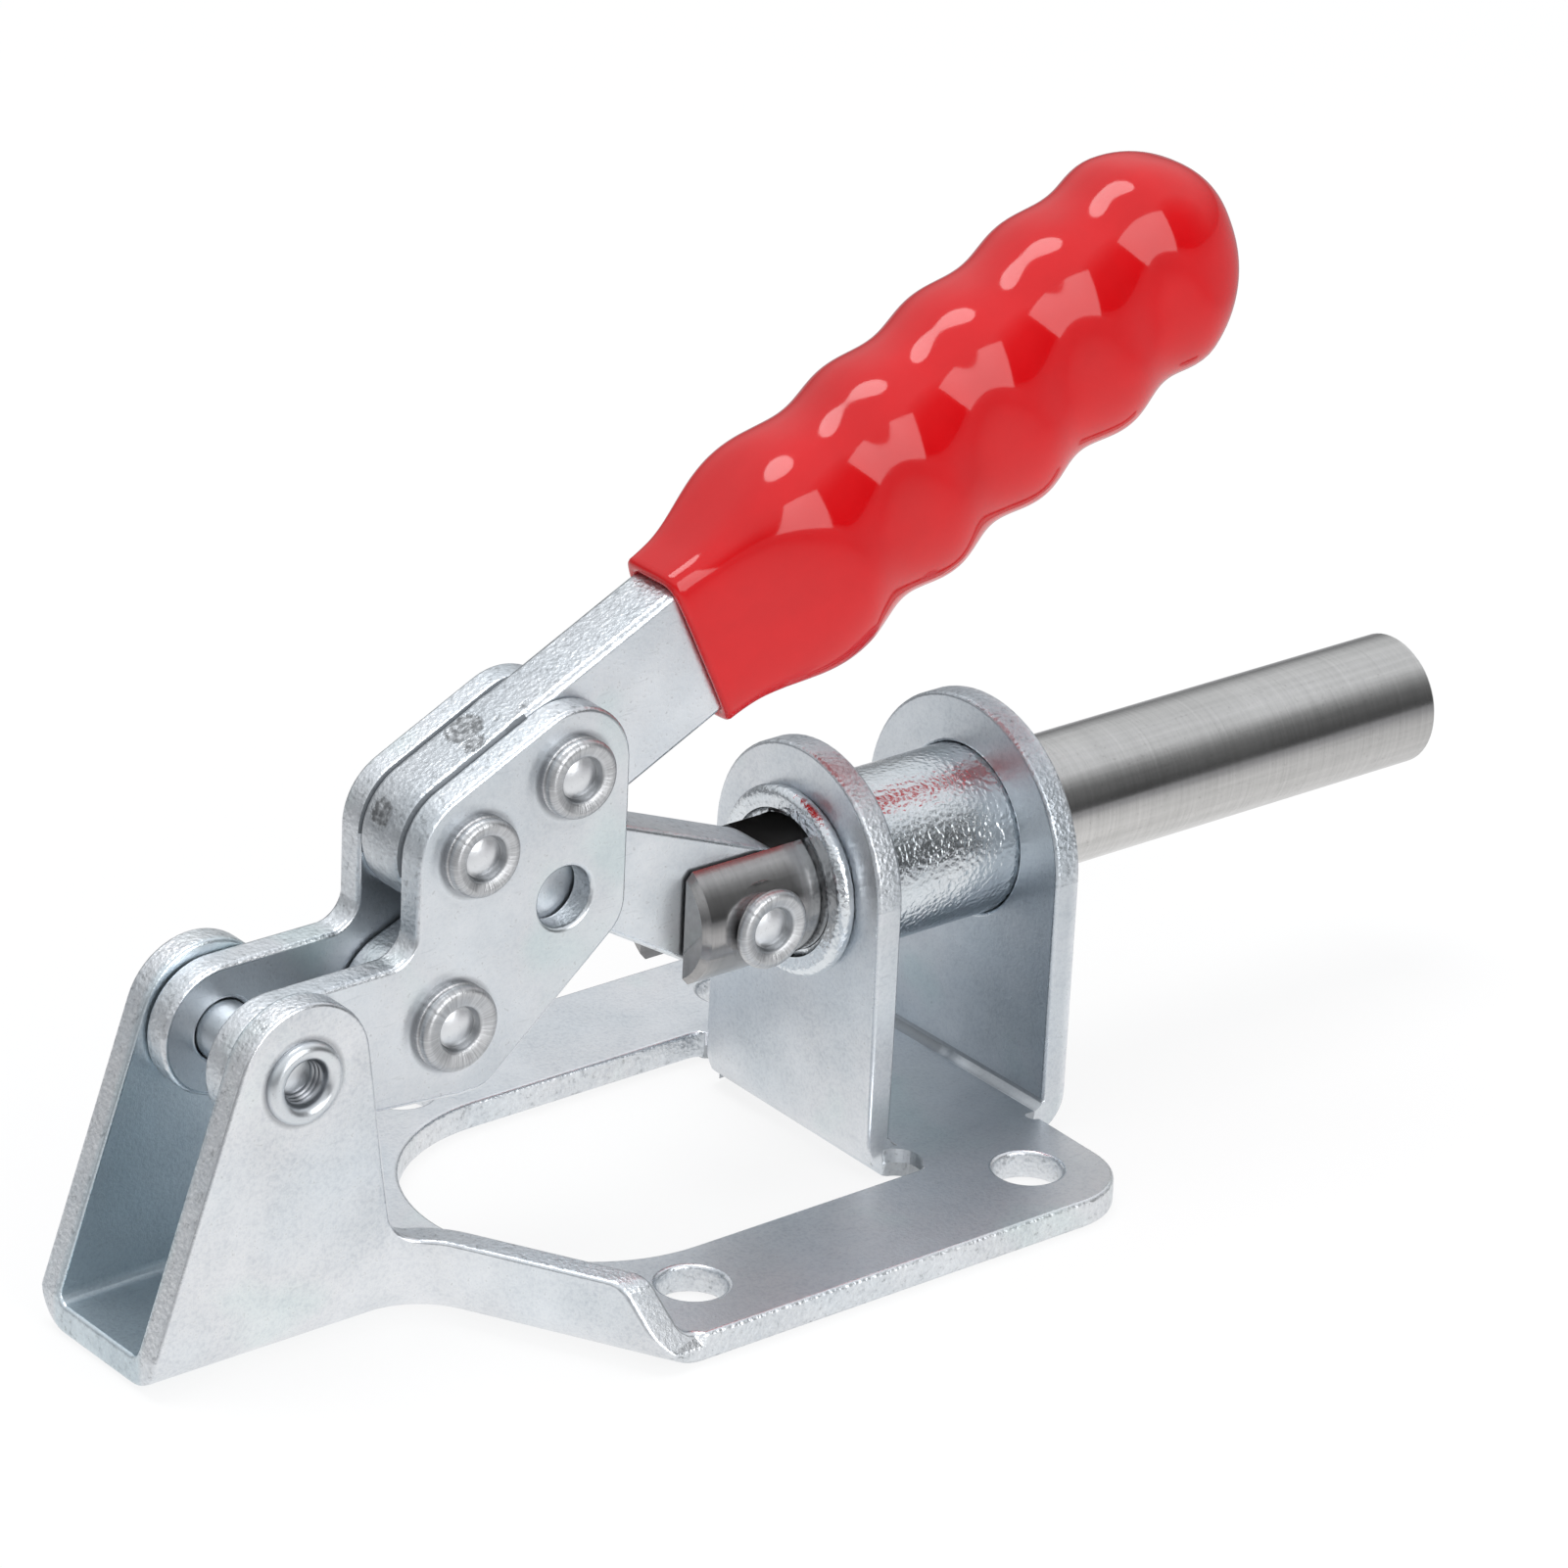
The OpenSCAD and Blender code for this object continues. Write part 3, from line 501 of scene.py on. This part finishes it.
def dressed(name, width, sheared, finish, body, weld=WELD, left_sharp=None, shaded_bend=None, shaded_gap=None):
    """Shows a pressed piece by a copy with rounded edges; the rules take a normal and a middle in millimetres."""
    mesh = nodes[name].data.copy()
    work, solid = joined_faces(mesh, weld)
    cut, rim, corner = (work.faces.layers.float.new(mark) for mark in ("cut", "rim", "corner"))
    for face in work.faces:
        middle = face.calc_center_median() * 1000
        face[cut] = 1.0 if sheared(face.normal, middle) else 0.0
        # Painted shade on faces that the bend rule picks.
        face[corner] = BEND_SHADE if shaded_bend and shaded_bend(face.normal, middle) else 0.0
        face.smooth = True
    sharp = [e for e in work.edges if e.calc_face_angle(0) > SHARP_ANGLE]
    if left_sharp:
        sharp = [e for e in sharp if not left_sharp((e.verts[0].co + e.verts[1].co) * 500)]
    rounded = bmesh.ops.bevel(work, geom=sharp, offset=width, offset_type="OFFSET", segments=BEVEL_STEPS, profile=0.5,
                              affect="EDGES", clamp_overlap=False)
    for face in rounded["faces"]:
        face[rim] = 1.0
        face.smooth = True
        # Painted shade on rounded edges beside a gap.
        if shaded_gap and shaded_gap(face.normal, face.calc_center_median() * 1000):
            face[corner] = GAP_SHADE
    stray = drawn_back(work, solid, *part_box(name), width)
    work.to_mesh(mesh)
    work.free()
    mesh.materials.clear()
    mesh.materials.append(finish)
    piece = placed(name + "_dressed", mesh)
    weigh = piece.modifiers.new("weigh", "WEIGHTED_NORMAL")
    weigh.mode, weigh.weight = "FACE_AREA", 60
    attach(piece, body)
    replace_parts(piece, name)
    print(name, "has", len(sharp), "rounded edges,", len(mesh.polygons), "faces and", stray, "points drawn back")


# %% [markdown]
# The side plates, the link and the bar all stand along the clamp, so one rule marks their sheared edges. A second rule
# paints shade on the rounded edges where the bar lies against a plate, in the thin gap that stays open there.

# %% Side plates, link and bar
def not_sideways(normal, middle):
    """A plate that stands along the clamp is sheared wherever its face doesn't look sideways."""
    return abs(normal.y) < 0.5


def against_bar(normal, middle):
    """Rounded edges beside the bar's faces, along the part of the plates that the bar lies between, which get painted
    shade.
    """
    return abs(abs(middle.y) - 2.8) < 0.24 and middle.z > 37 and -37 < middle.x < -14


dressed("near_plate", 0.00045, not_sideways, zinc_sheet, "handle_body", shaded_gap=against_bar)
dressed("far_plate", 0.00045, not_sideways, zinc_sheet, "handle_body", shaded_gap=against_bar)
dressed("link", 0.0005, not_sideways, zinc_link, "link_body")
dressed("handle_bar", 0.0007, not_sideways, zinc_bar, "handle_body", shaded_gap=against_bar)

# %% [markdown]
# The base is one sheet that is bent in several places, so its rules look at where a face lies. Low down, the sheared
# faces stand upright; on the two tabs they look anywhere but along the plunger; on the ears and the side walls they
# are the ones that don't look sideways.

# %% Base
def base_sheared(normal, middle):
    if middle.z < 2.7:
        return abs(normal.z) < 0.2
    if middle.x > 4:
        return abs(normal.x) < 0.5 and middle.z > 6
    if middle.x < -36:
        return abs(normal.y) < 0.5 and middle.z > 3.7
    return normal.z > 0.6 and middle.z > 3.7


def relief_notch(middle):
    """The little rounded cuts at the feet of the tabs are narrower than the bevel."""
    front = 8.5 < middle.x < 12.6 and 10.9 < abs(middle.y) < 15.2
    rear = 23.5 < middle.x < 26.3 and 12.0 < abs(middle.y) < 15.5
    return middle.z < 3.4 and (front or rear)


def foot_corner(normal, middle):
    """The tight inner bends at the feet of the tabs get painted shade and a rougher surface."""
    bent = normal.z > 0.12 and abs(normal.x) > 0.12
    return bent and 2.6 < middle.z < 3.8 and (10 < middle.x < 12 or 24.5 < middle.x < 27)


dressed("base", 0.0004, base_sheared, zinc_base, "base_body", weld=5e-5, left_sharp=relief_notch, shaded_bend=foot_corner)

# %% [markdown]
# A rivet is a turned shape, so it is a half outline swept round its axis. Turned pieces, the rings beside them and the
# grip are all written as points and faces, so one helper makes each into a smooth piece whose faces look outwards.

# %% Helpers that make a piece from points and turn an outline
TURN_STEPS, KEPT_SHARP = 120, math.radians(50)


def piece_from(name, points, faces, finish, body, centre=(0, 0), sharp=KEPT_SHARP):
    """A smooth piece from points in metres about a centre (along, up) in millimetres, riding on a body."""
    mesh = bpy.data.meshes.new(name)
    mesh.from_pydata(points, [], faces)
    work = bmesh.new()
    work.from_mesh(mesh)
    bmesh.ops.recalc_face_normals(work, faces=work.faces)
    work.to_mesh(mesh)
    work.free()
    mesh.polygons.foreach_set("use_smooth", [True] * len(mesh.polygons))
    if sharp:
        mesh.set_sharp_from_angle(angle=sharp)
    mesh.materials.append(finish)
    piece = placed(name, mesh)
    piece.location = (centre[0] / 1000, 0, centre[1] / 1000)
    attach(piece, body)
    print(name, "has", len(mesh.polygons), "faces")
    return piece


def turned(name, centre, outline, body, covers, finish=zinc_rivet):
    """Sweeps (radius, height towards -Y) points, in millimetres, round the sideways axis through the centre."""
    points, faces, starts = [], [], []
    for r, h in outline:
        starts.append(len(points))
        for j in range(TURN_STEPS if r > 0 else 1):
            t = math.tau * j / TURN_STEPS
            points.append((r * math.cos(t) / 1000, -h / 1000, r * math.sin(t) / 1000))
    for i in range(len(outline) - 1):
        a, b = starts[i], starts[i + 1]
        for j in range(TURN_STEPS):
            k = (j + 1) % TURN_STEPS
            if outline[i][0] == 0:
                faces.append((a, b + k, b + j))
            elif outline[i + 1][0] == 0:
                faces.append((a + j, a + k, b))
            else:
                faces.append((a + j, a + k, b + k, b + j))
    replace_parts(piece_from(name, points, faces, finish, body, centre), covers)


# %% [markdown]
# The outline starts at the middle of the rolled head: a shallow dome in a recess, a wall, the rolled ring with its
# crest near the outside, and a thin step where the ring meets the plate. It goes down the shank and ends with the low
# plain dome of the other head.

# %% Outlines of the heads, and the lever's rivets
PLATE_FACE, HEAD_H, ROLL_R, LIP_R = 5.5, 1.5, 0.62, 0.3


def arc(r, y, size, start, stop, steps):
    """Points of an arc about (r, y), angles in degrees from the outward direction towards the head's top."""
    turns = [math.radians(start + (stop - start) * i / steps) for i in range(steps + 1)]
    return [(r + size * math.cos(t), y + size * math.sin(t)) for t in turns]


def rolled_head(r, w, h, undercut=False):
    """Rolled head of radius r on a face at half width w, h high, from its middle outwards and down to the face."""
    floor = w + h - 0.9
    outline = [(0, floor + 0.35)] + [(1.7 * i / 8, floor + 0.35 * (1 - (i / 8) ** 2)) for i in range(1, 9)]
    outline += [(1.8, floor), (1.88, floor + 0.1), (1.93, w + h - 0.55)]
    outline += arc(2.25, w + h - 0.5, LIP_R, 165, 108, 5)
    outline += arc(r - ROLL_R, w + h - ROLL_R, ROLL_R, 102, -12, 14)
    if undercut:
        outline += arc(r - ROLL_R, w + h - ROLL_R, ROLL_R, -30, -80, 4)
        return outline + [(r - 0.75, w + h - 1.35), (r - 0.8, w)]
    return outline + [(r - 0.16, w + 0.55), (r - 0.2, w + 0.46), (r - 0.02, w + 0.36), (r, w + 0.25), (r, w)]


def domed_head(r, w, h):
    """The other, plain head, from the face to its middle."""
    big = (r * r + h * h) / (2 * h)
    turns = [math.asin(r / big) * (1 - i / 10) for i in range(11)]
    return [(big * math.sin(t), -(w + h - big + big * math.cos(t))) for t in turns]


for name, centre, r in (("link_rivet", LINK_RIVET, 3.8), ("handle_rivet_lower", LOWER_RIVET, 3.45),
                        ("handle_rivet_upper", UPPER_RIVET, 3.5)):
    outline = rolled_head(r, PLATE_FACE, HEAD_H) + [(SHANK, PLATE_FACE), (SHANK, -PLATE_FACE)]
    turned(name + "_turned", centre, outline + domed_head(r, PLATE_FACE, HEAD_H), "handle_body", name)

# %% [markdown]
# The plunger's rivet rides in two lengths, one on each side of the link's eye, and its heads stand higher. Its rolled
# ring is wider than what carries it, so there is a dark gap under the ring.

# %% Plunger rivet
FORK_FACE, FORK_SLOT, FORK_HEAD_R, FORK_HEAD_H = 4.9, 2.85, 3.55, 2.5

near = rolled_head(FORK_HEAD_R, FORK_FACE, FORK_HEAD_H, undercut=True)
near += [(SHANK, FORK_FACE), (SHANK, FORK_SLOT), (0, FORK_SLOT)]
turned("plunger_rivet_near", PLUNGER_RIVET, near, "plunger_body", "plunger_rivet")
far = [(0, -FORK_SLOT), (SHANK, -FORK_SLOT), (SHANK, -FORK_FACE)] + domed_head(FORK_HEAD_R, FORK_FACE, FORK_HEAD_H)
turned("plunger_rivet_far", PLUNGER_RIVET, far, "plunger_body", "plunger_rivet")

# %% [markdown]
# The solids have a flat spot face under each of these heads, but the real fork stays round up to the head. A thin ring
# fills each spot face: its inner side is flat and its outer side follows the plunger's round surface.

# %% Fork seats
PLUNGER_R, SEAT_IN, SEAT_OUT = 6.0, SHANK + 0.02, 3.645
SEAT_SKIN, SEAT_FOOT, SEAT_STEPS, SEAT_RINGS = FORK_FACE - 0.02, FORK_FACE - 0.1, 96, 7


def fork_seat(name, side):
    """Ring round the rivet's axis on one side of the fork, from the spot face out to the plunger's surface."""
    points = []
    for i in range(SEAT_RINGS):
        r = SEAT_IN + (SEAT_OUT - SEAT_IN) * i / (SEAT_RINGS - 1)
        for j in range(SEAT_STEPS):
            x, z = r * math.cos(math.tau * j / SEAT_STEPS), r * math.sin(math.tau * j / SEAT_STEPS)
            points.append((x / 1000, side * max(SEAT_SKIN, math.sqrt(PLUNGER_R ** 2 - z * z)) / 1000, z / 1000))
    for i in (SEAT_RINGS - 1, 0):
        rim = points[i * SEAT_STEPS:(i + 1) * SEAT_STEPS]
        points += [(x, side * SEAT_FOOT / 1000, z) for x, y, z in rim]
    faces = []
    for i in range(SEAT_RINGS + 2):
        a, b = i * SEAT_STEPS, (i + 1) % (SEAT_RINGS + 2) * SEAT_STEPS
        faces += [(a + j, a + (j + 1) % SEAT_STEPS, b + (j + 1) % SEAT_STEPS, b + j) for j in range(SEAT_STEPS)]
    piece_from(name, points, faces, ground_steel, "plunger_body", PLUNGER_RIVET)


fork_seat("fork_seat_near", -1)
fork_seat("fork_seat_far", 1)

# %% [markdown]
# The lever turns on a hollow rivet. Each end is rolled into one fat smooth ring, and the hollow shows the steps that
# the tool left in its wall, with a flat web a little way in. Two of the coined rings, laid on the rivet's own axis,
# darken the wall.

# %% Base pivot rivet
EAR_FACE, EAR_HEAD_R, EAR_HEAD_H, EAR_ROLL = 8.35, 3.6, 0.85, 0.775
WEB_IN, BORE_R = 2.3, 1.66

zinc_tube = plated("zinc_tube", (0.70, 0.72, 0.74), (0.80, 0.81, 0.83), 0.3, bump=0.1, flecks=0.05,
                   rings=((0, 0, 1.72), (0, 0, 1.92)))


def hollow_end(r, w, h):
    """From the web inside the hollow, out along its stepped wall, over the ring and down to the face."""
    top = w + h
    web = top - WEB_IN
    outline = [(0, web), (BORE_R - 0.04, web), (BORE_R, web + 0.06)]
    for i in range(3):
        r_step, h_step = BORE_R + 0.09 * i, web + 0.42 * i
        outline += [(r_step, h_step + 0.3), (r_step + 0.12, h_step + 0.4)]
    outline += arc(r - EAR_ROLL, top - EAR_ROLL, EAR_ROLL, 178, -4, 20)
    return outline + [(r - 0.02, w)]


end = hollow_end(EAR_HEAD_R, EAR_FACE, EAR_HEAD_H)
outline = end + [(SHANK, EAR_FACE), (SHANK, -EAR_FACE)] + [(r, -h) for r, h in reversed(end)]
turned("base_pivot_turned", EAR_PIVOT, outline, "base_body", "base_pivot_rivet", finish=zinc_tube)

# %% [markdown]
# The bush, the plunger and the short pin inside the link's eye are plain turned shapes that are already round enough,
# so they keep their own meshes and only get their finish.

# %% Bush, plunger and eye pin
for name, finish in (("guide_bush", zinc_bush), ("plunger", ground_steel), ("link_eye_pin", zinc_rivet)):
    for material_slot in nodes[name].material_slots:
        material_slot.material = finish
    print(name, "gets", finish.name)

# %% [markdown]
# The grip is one skin round the bar. Each cross-section is a rounded rectangle at the mouth that becomes nearly an
# oval in the body, with four finger grooves over its top and underside. Writing the skin as a function of the distance
# from the mouth and the angle round the section gives a clean grid of points, which no sculpting could match.

# %% Grip sizes, in millimetres
GRIP_FROM = Vector((LOWER_RIVET[0], 0, LOWER_RIVET[1]))
TILT = math.radians(25.8)
ALONG = Vector((math.cos(TILT), 0, math.sin(TILT)))
ACROSS = Vector((-math.sin(TILT), 0, math.cos(TILT)))
MOUTH_AT, GRIP_L, END_L, DROP, SAG = 26.4, 63.2, 11, 0.6, 0.45
BAR_W, BAR_T, WALL, WALL_HIGH = 13.3, 5.6, 0.9, 1.4
GRIP_H, GRIP_W, SQUARE_MOUTH, SQUARE_LOST = 10.7, 7.8, 6, 3.6
PITCH, DEEP, FIRST_GROOVE, LAST_GROOVE, SWELL_AT = 10.35, 1.0, 1.36, 5.36, 0.86
print("grip reaches from", MOUTH_AT, "to", MOUTH_AT + GRIP_L, "mm past the lower rivet, a groove each", PITCH, "mm")

# %% [markdown]
# Small functions each give one habit of the shape: an eased step, the droop of the rear end, the depth of the grooves,
# and the way the crease wanders between them. The last one puts them together.

# %% The grip's surface as a function
def ease(a, b, x):
    t = min(1, max(0, (x - a) / (b - a)))
    return t * t * (3 - 2 * t)


def sag(s):
    return SAG * ease(GRIP_L - 7, GRIP_L + 11, s)


def wave(s):
    return math.cos(math.tau * (s / PITCH - SWELL_AT))


def groove(s):
    return 0.5 + 0.5 * wave(s) if PITCH * FIRST_GROOVE <= s <= PITCH * LAST_GROOVE else 0


def seam_at(s):
    """Angle of the crease that the dipping left low on the near side."""
    return math.radians(232 + 7 * wave(s))


def skin(s, a, inset=0.0):
    """Point of the grip's skin at s from the mouth and angle a round the section, drawn in by inset."""
    square = SQUARE_MOUTH - SQUARE_LOST * ease(0, 16, s)
    h = BAR_W / 2 + WALL_HIGH + (GRIP_H - BAR_W / 2 - WALL_HIGH) * ease(2.5, 14, s)
    w = BAR_T / 2 + WALL + (GRIP_W - BAR_T / 2 - WALL) * ease(0, 15, s)
    t = max(0, (s - (GRIP_L - END_L)) / END_L)
    tip = math.sqrt(max(0, 1 - t * t))
    c, q = math.cos(a), math.sin(a)
    k = (abs(c) ** square + abs(q) ** square) ** (-1 / square)
    d = DEEP * groove(s) * (1.0 - 0.18 * q - 0.26 * q * q)
    side = c * k * (w - inset) * tip - math.copysign(abs(c) * d, c)
    high = q * k * (h - inset * (1 + (WALL_HIGH / WALL - 1) * min(1, inset / WALL))) * tip - q * d - sag(s)
    return GRIP_FROM + ALONG * (MOUTH_AT + s) + ACROSS * (high - DROP) + Vector((0, side, 0))


# %% [markdown]
# The grid runs from inside the mouth, over its thin rolled lip, along the body and round the blind end. Each point also
# keeps its distance from the crease, as a number called seam, which the vinyl's bump reads.

# %% Grip skin
ROUND, BODY_ROWS, END_ROWS, LIP = 168, 150, 26, 0.45
SEAM_SCALE, SEAM_FAR = 8, 9.0

rows = [(2.5, WALL - 0.05), (0.6, WALL - 0.05), (0.15, WALL - 0.1), (0.0, 0.55), (0.03, 0.3), (0.2, 0.08), (LIP, 0.0)]
rows += [(LIP + (GRIP_L - END_L - LIP) * i / BODY_ROWS, 0.0) for i in range(1, BODY_ROWS + 1)]
rows += [(GRIP_L - END_L + END_L * math.sin(math.radians(i * 89 / END_ROWS)), 0.0) for i in range(1, END_ROWS + 1)]
points = [skin(s, math.tau * j / ROUND, inset) / 1000 for s, inset in rows for j in range(ROUND)]
points.append((GRIP_FROM + ALONG * (MOUTH_AT + GRIP_L) - ACROSS * (DROP + sag(GRIP_L))) / 1000)
faces = [(i * ROUND + j, i * ROUND + (j + 1) % ROUND, (i + 1) * ROUND + (j + 1) % ROUND, (i + 1) * ROUND + j)
         for i in range(len(rows) - 1) for j in range(ROUND)]
last = (len(rows) - 1) * ROUND
faces += [(last + j, last + (j + 1) % ROUND, len(points) - 1) for j in range(ROUND)]
grip_skin = piece_from("grip_skin", points, faces, dipped_red, "handle_body", sharp=None)
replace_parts(grip_skin, "grip")
off = [(math.tau * j / ROUND - seam_at(s)) * SEAM_SCALE for s, inset in rows for j in range(ROUND)] + [SEAM_FAR]
grip_skin.data.attributes.new("seam", "FLOAT", "POINT").data.foreach_set("value", off)

# %% [markdown]
# The clamp stands on a plain white floor, large enough to fill the view. The floor's colour alone would render a
# little grey, so rays from the camera and from the metal's gloss also see some plain light of strength one in it. The
# shadow stays, because the other part of the floor is an ordinary matt surface. For the gloss, that light fades and the
# matt colour is dark, so that the metal mirrors a pale sheet with darkness beyond it.

# %% Floor
FLOOR_HALF, FLOOR_DOWN = 3, -0.0002
SHEET_NEAR, SHEET_FAR, SHEET_FULL, SHEET_LOST, SEEN_LIGHT = 0.06, 0.24, 0.95, 0.13, 0.82

mesh = bpy.data.meshes.new("floor")
corners = [(x * FLOOR_HALF, y * FLOOR_HALF, 0) for x, y in ((-1, -1), (1, -1), (1, 1), (-1, 1))]
mesh.from_pydata(corners, [], [(0, 1, 2, 3)])
floor = placed("floor", mesh)
floor.location.z = FLOOR_DOWN
floor_white = bpy.data.materials.new("floor_white")
floor_white.use_nodes = True
tree = floor_white.node_tree
tree.nodes.clear()
path = node(tree, "LightPath").outputs
far = vector_maths(tree, "LENGTH", node(tree, "TexCoord").outputs["Object"])
fade = remap(tree, far, SHEET_NEAR, SHEET_FAR, SHEET_FULL, SHEET_LOST)
gloss = maths(tree, "MAXIMUM", path["Is Glossy Ray"], path["Is Transmission Ray"])
seen = maths(tree, "MULTIPLY", path["Is Camera Ray"], SEEN_LIGHT)
shown = maths(tree, "MAXIMUM", maths(tree, "MULTIPLY", gloss, fade), seen)
matt = node(tree, "BsdfDiffuse", {"Color": blend_colour(tree, gloss, (0.92, 0.92, 0.92, 1), (0.25, 0.25, 0.26, 1))})
plain = node(tree, "Emission", {"Color": (1, 1, 1, 1), "Strength": 1.0})
both = node(tree, "MixShader", {0: shown, 1: matt.outputs[0], 2: plain.outputs[0]})
node(tree, "OutputMaterial", {"Surface": both.outputs[0]})
mesh.materials.append(floor_white)
print("floor is", FLOOR_HALF * 2, "m wide")

# %% [markdown]
# Polished metal shows its surroundings, so the world is a studio: grey near the horizon and brighter towards the
# ceiling, with a dark screen to the front right. That change is what draws the bands along the plunger. Rays from the
# camera see plain white instead.

# %% World
HORIZON, CEILING = (0.0, (0.16, 0.165, 0.17, 1)), (0.9, (0.90, 0.92, 0.95, 1))
BETWEEN = ((0.16, 0.38), (0.40, 0.72), (0.62, 0.86))
SCREEN_TOWARD, SCREEN_EDGE, SCREEN_CORE, SCREEN_LEFT = (0.60, -0.76, 0.24), 0.78, 0.97, 0.22

world = bpy.data.worlds.new("studio")
bpy.context.scene.world = world
world.use_nodes = True
tree = world.node_tree
tree.nodes.clear()
toward = node(tree, "TexCoord").outputs["Generated"]
ramp = node(tree, "ValToRGB", {0: node(tree, "SeparateXYZ", {0: toward}).outputs["Z"]})
stops = ramp.color_ramp.elements
for stop, (position, colour) in zip(stops, (HORIZON, CEILING)):
    stop.position, stop.color = position, colour
for position, level in BETWEEN:
    stops.new(position).color = (level, level * 1.02, level * 1.04, 1)
front_right = vector_maths(tree, "DOT_PRODUCT", toward, SCREEN_TOWARD)
dim = remap(tree, front_right, SCREEN_EDGE, SCREEN_CORE, 1.0, SCREEN_LEFT)
studio_light = blend_colour(tree, 1.0, ramp.outputs[0], dim, "MULTIPLY")
camera_ray = node(tree, "LightPath").outputs["Is Camera Ray"]
sky = node(tree, "Background", {"Color": blend_colour(tree, camera_ray, studio_light, (1, 1, 1, 1)), "Strength": 1.0})
node(tree, "OutputWorld", {"Surface": sky.outputs[0]})
print("studio has", len(stops), "levels from the horizon to the ceiling")

# %% [markdown]
# Two soft boxes light it: a wide one overhead, which gives the top row of highlights on the grip, and a square one to
# the front right, whose window-like reflections sit on the grip's near side. Each is set by how bright its face looks,
# and the power follows from its area.

# %% Soft boxes
MIDDLE, LAMP_AWAY = Vector((0.01, 0, 0.04)), 0.85


def soft_box(name, toward, width, depth, level, shape="RECTANGLE"):
    lamp = bpy.data.lights.new(name, "AREA")
    lamp.shape, lamp.size, lamp.size_y = shape, width, depth
    lamp.energy = level * math.pi * width * depth
    stand = placed(name, lamp)
    away = Vector(toward).normalized()
    stand.location = MIDDLE + away * LAMP_AWAY
    stand.rotation_euler = away.to_track_quat("Z", "Y").to_euler()
    print(name, "gives", round(lamp.energy, 2), "watts")


soft_box("overhead_box", (-0.10, 0.20, 1.0), 0.36, 0.52, 4.0, "ELLIPSE")
soft_box("front_box", (0.08, -0.90, 0.33), 0.50, 0.70, 2.8)

# %% [markdown]
# The Standard view shows a colour as it was written.

# %% Colour management
bpy.context.scene.view_settings.view_transform = "Standard"
